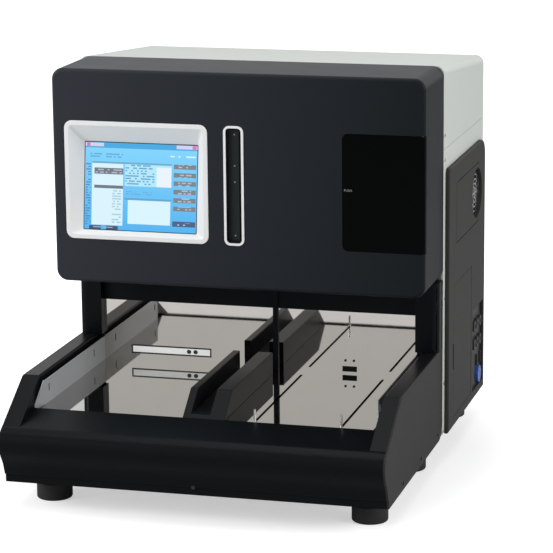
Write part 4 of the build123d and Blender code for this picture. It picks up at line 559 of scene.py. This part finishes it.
# ---- Cassette well ---------------------------------------------------------------------------
# Behind the door: a black box with a clear hopper of strips over a white slotted drum, and
# the white plunger of the push latch.
black_plastic = moulded("black_plastic", (0.014, 0.014, 0.015), 0.5)
white_acetal = moulded("white_acetal", (0.70, 0.70, 0.67), 0.4, mottle=0.03)
clear_hopper = moulded("clear_hopper", (0.50, 0.53, 0.52), 0.2, mottle=0.04)
dress(black_plastic, "cassette_well")
dress(white_acetal, "feed_drum", "push_latch")
dress(clear_hopper, "strip_cassette")

# ---- Test strips ---------------------------------------------------------------------------------
# A loose stack of thin plastic test strips lies across the hopper. Each is a white sheet with
# ten coloured reagent pads near one end.
strip_sheet = Finish("test_strip", {"Roughness": 0.5})
along = strip_sheet.axis("X")
pad_start, pad_pitch, pad_share, pads_end = 0.1850, 0.0060, 0.7, 0.2450
pad_step = (along - pad_start) / pad_pitch
pad_tint = strip_sheet.node(
    "ShaderNodeTexWhiteNoise",
    {"noise_dimensions": "1D"},
    {"W": strip_sheet.node("ShaderNodeMath", {"operation": "FLOOR"}, {0: pad_step})},
)
pad_colour = strip_sheet.blend(pad_tint, (0.72, 0.52, 0.16), (0.30, 0.50, 0.36))
on_pad = ((pad_step % 1.0) < pad_share) * (along < pads_end)
strip_sheet.give({"Base Color": strip_sheet.blend(on_pad, (0.82, 0.82, 0.80), pad_colour)})
strip_count, strip_rise = 24, 0.0017
strip_sizes = (0.0700, 0.0048, 0.0006)
strip_start = Vector((0.2175, -0.0600, 0.4150))
strip_stray, stray_turn, strip_edge = 0.0006, 5.1, 0.0001
for index in range(strip_count):
    bpy.ops.object.select_all(action="DESELECT")
    lean = strip_stray * math.sin(stray_turn * index)
    strip_place = strip_start + Vector((lean, 2 * lean, index * strip_rise))
    bpy.ops.mesh.primitive_cube_add(size=1, location=strip_place)
    test_strip = bpy.context.active_object
    test_strip.scale = strip_sizes
    rounded(test_strip, "test_strip_%02d" % (index + 1), strip_edge, 2)
    test_strip.data.materials.append(strip_sheet.material)
    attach(test_strip, "cabinet")

# ---- Pale casing -------------------------------------------------------------------------------
# The pressed steel lid and body behind the front cover, in light grey paint with a fine
# orange-peel surface.


def painted(name, colour, roughness):
    """Sprayed paint: a soft orange peel and an even tone."""
    finish = Finish(name, {"Specular IOR Level": 0.45})
    peel = finish.cloud(0.0018, detail=1.0)
    patches = finish.cloud(0.12)
    finish.give({"Base Color": finish.blend(patches, shade(colour, 0.98), shade(colour, 1.02))})
    finish.give({"Roughness": roughness - 0.02 + 0.04 * patches})
    finish.relief(peel, 0.000008)
    return finish.material


pale_paint = painted("pale_paint", (0.60, 0.635, 0.60), 0.42)
dress(pale_paint, "top_cover", "body_cover", "rear_panel")

# ---- Side shells --------------------------------------------------------------------------------
# Dark grey mouldings over both sides with a coarser texture: the right one has the fan vent,
# the service door and a pocket for the hoses.
shell_grey = moulded("shell_grey", (0.032, 0.032, 0.030), 0.5, grain=0.0009, depth=0.00003, extra=dull)
dress(shell_grey, "side_shell_right", "side_shell_left")
softened("access_door", 0.0005, shell_grey, "access_door")

# ---- Fan ------------------------------------------------------------------------------------------
# A black seven-bladed fan behind a bright wire guard, sunk in the round vent.
dress(black_plastic, "fan_frame", "fan_rotor")
bright_wire = sheet_metal("bright_wire", (0.74, 0.74, 0.75), 0.16)
dress(bright_wire, "fan_guard")

# ---- Hose pocket --------------------------------------------------------------------------------
# Six black hose spigots and two clips on a plate, with the blue lobed cap of the waste line
# under them.
dress(black_plastic, "hose_fittings")
dress(moulded("cap_blue", (0.020, 0.085, 0.40), 0.3), "waste_cap")

# ---- Rear fittings ------------------------------------------------------------------------------
# The mains inlet, the rocker switch in its frame and three metal data sockets.
dress(black_plastic, "power_inlet", "rocker_frame", "power_rocker")
dress(sheet_metal("socket_metal", (0.60, 0.60, 0.61), 0.25), "data_ports")

# ---- Rating label ----------------------------------------------------------------------------------
# A silver foil label on the rear panel with a few printed lines: type, supply and number.
foil = sheet_metal("label_foil", (0.62, 0.63, 0.64), 0.35, metal=0.6)
ink = moulded("label_ink", (0.015, 0.015, 0.018), 0.6)
rear_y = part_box("rear_panel")[1][1]
label_place = Vector((0.020, rear_y + 0.0001, 0.2150))
bpy.ops.object.select_all(action="DESELECT")
bpy.ops.mesh.primitive_cube_add(size=1, location=label_place)
label = bpy.context.active_object
label.scale = (0.0860, 0.0002, 0.0480)
label_edge = 0.00005
rounded(label, "rating_label", label_edge, 2)
label.data.materials.append(foil)
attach(label, "cabinet")
label_lines = ("ANALYZER TYPE A", "INPUT 100-240 V~  50/60 Hz", "POWER 150 VA MAX", "SERIAL 000001")
first_line = label_place + Vector((0.0380, 0.00015, 0.0140))
line_pitch, line_height = 0.0105, 0.0062
facing_back = (math.pi / 2, 0, math.pi)
for index, line in enumerate(label_lines):
    line_place = first_line - Vector((0, 0, line_pitch * index))
    name = "label_line_%d" % (index + 1)
    print_line = lettered(name, line, line_place, facing_back, line_height, ink)
    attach(print_line, "cabinet")

# ---- Screws and pins -------------------------------------------------------------------------------
# Bright cross-head screws on the pale casing, blackened ones on the dark mouldings round
# the trays, and ground steel pins, rails and lead screw.
bright_steel = sheet_metal("bright_steel", (0.62, 0.62, 0.63), 0.22)
dress(bright_steel, "hinge_pins", "pusher_rails", "lead_screw")
plated = Finish("plated_screws", {"Roughness": 0.28})
tray_top_z, tray_rear_y = 0.20, 0.03
dark_ones = (plated.axis("Z") < tray_top_z) * (plated.axis("Y") < tray_rear_y)
plated_steel = plated.blend(plated.cloud(0.001), (0.56, 0.56, 0.57), (0.66, 0.66, 0.67))
plated.give({"Base Color": plated.blend(dark_ones, plated_steel, (0.010, 0.010, 0.011))})
plated.give({"Metallic": 1.0 - dark_ones})
dress(plated.material, "case_screws")

# ---- Probe drive ------------------------------------------------------------------------------------
# Inside the cover: an aluminium rail, a belt over two pulleys, and the carriage with the
# sampling needle's block.
machined = sheet_metal("machined_aluminium", (0.60, 0.61, 0.62), 0.3, (0.05, 1, 1))
dress(machined, "gantry_rail", "probe_carriage", "probe_arm", "drive_pulley", "idler_pulley")
dress(machined, "rack_pusher")
dress(moulded("belt_rubber", (0.018, 0.018, 0.018), 0.7), "gantry_belt")
motor_coat = painted("motor_coat", (0.030, 0.030, 0.033), 0.4)
dress(motor_coat, "drive_motors", "wash_pump")

# ---- Inner units ------------------------------------------------------------------------------------
# The strip deck with the reader head, the power supply's perforated box and the main board.
dress(black_plastic, "optical_reader")
dress(sheet_metal("supply_case", (0.55, 0.55, 0.56), 0.4), "power_supply")
dress(moulded("board_green", (0.014, 0.095, 0.042), 0.35, grain=0.002, mottle=0.3), "main_board")
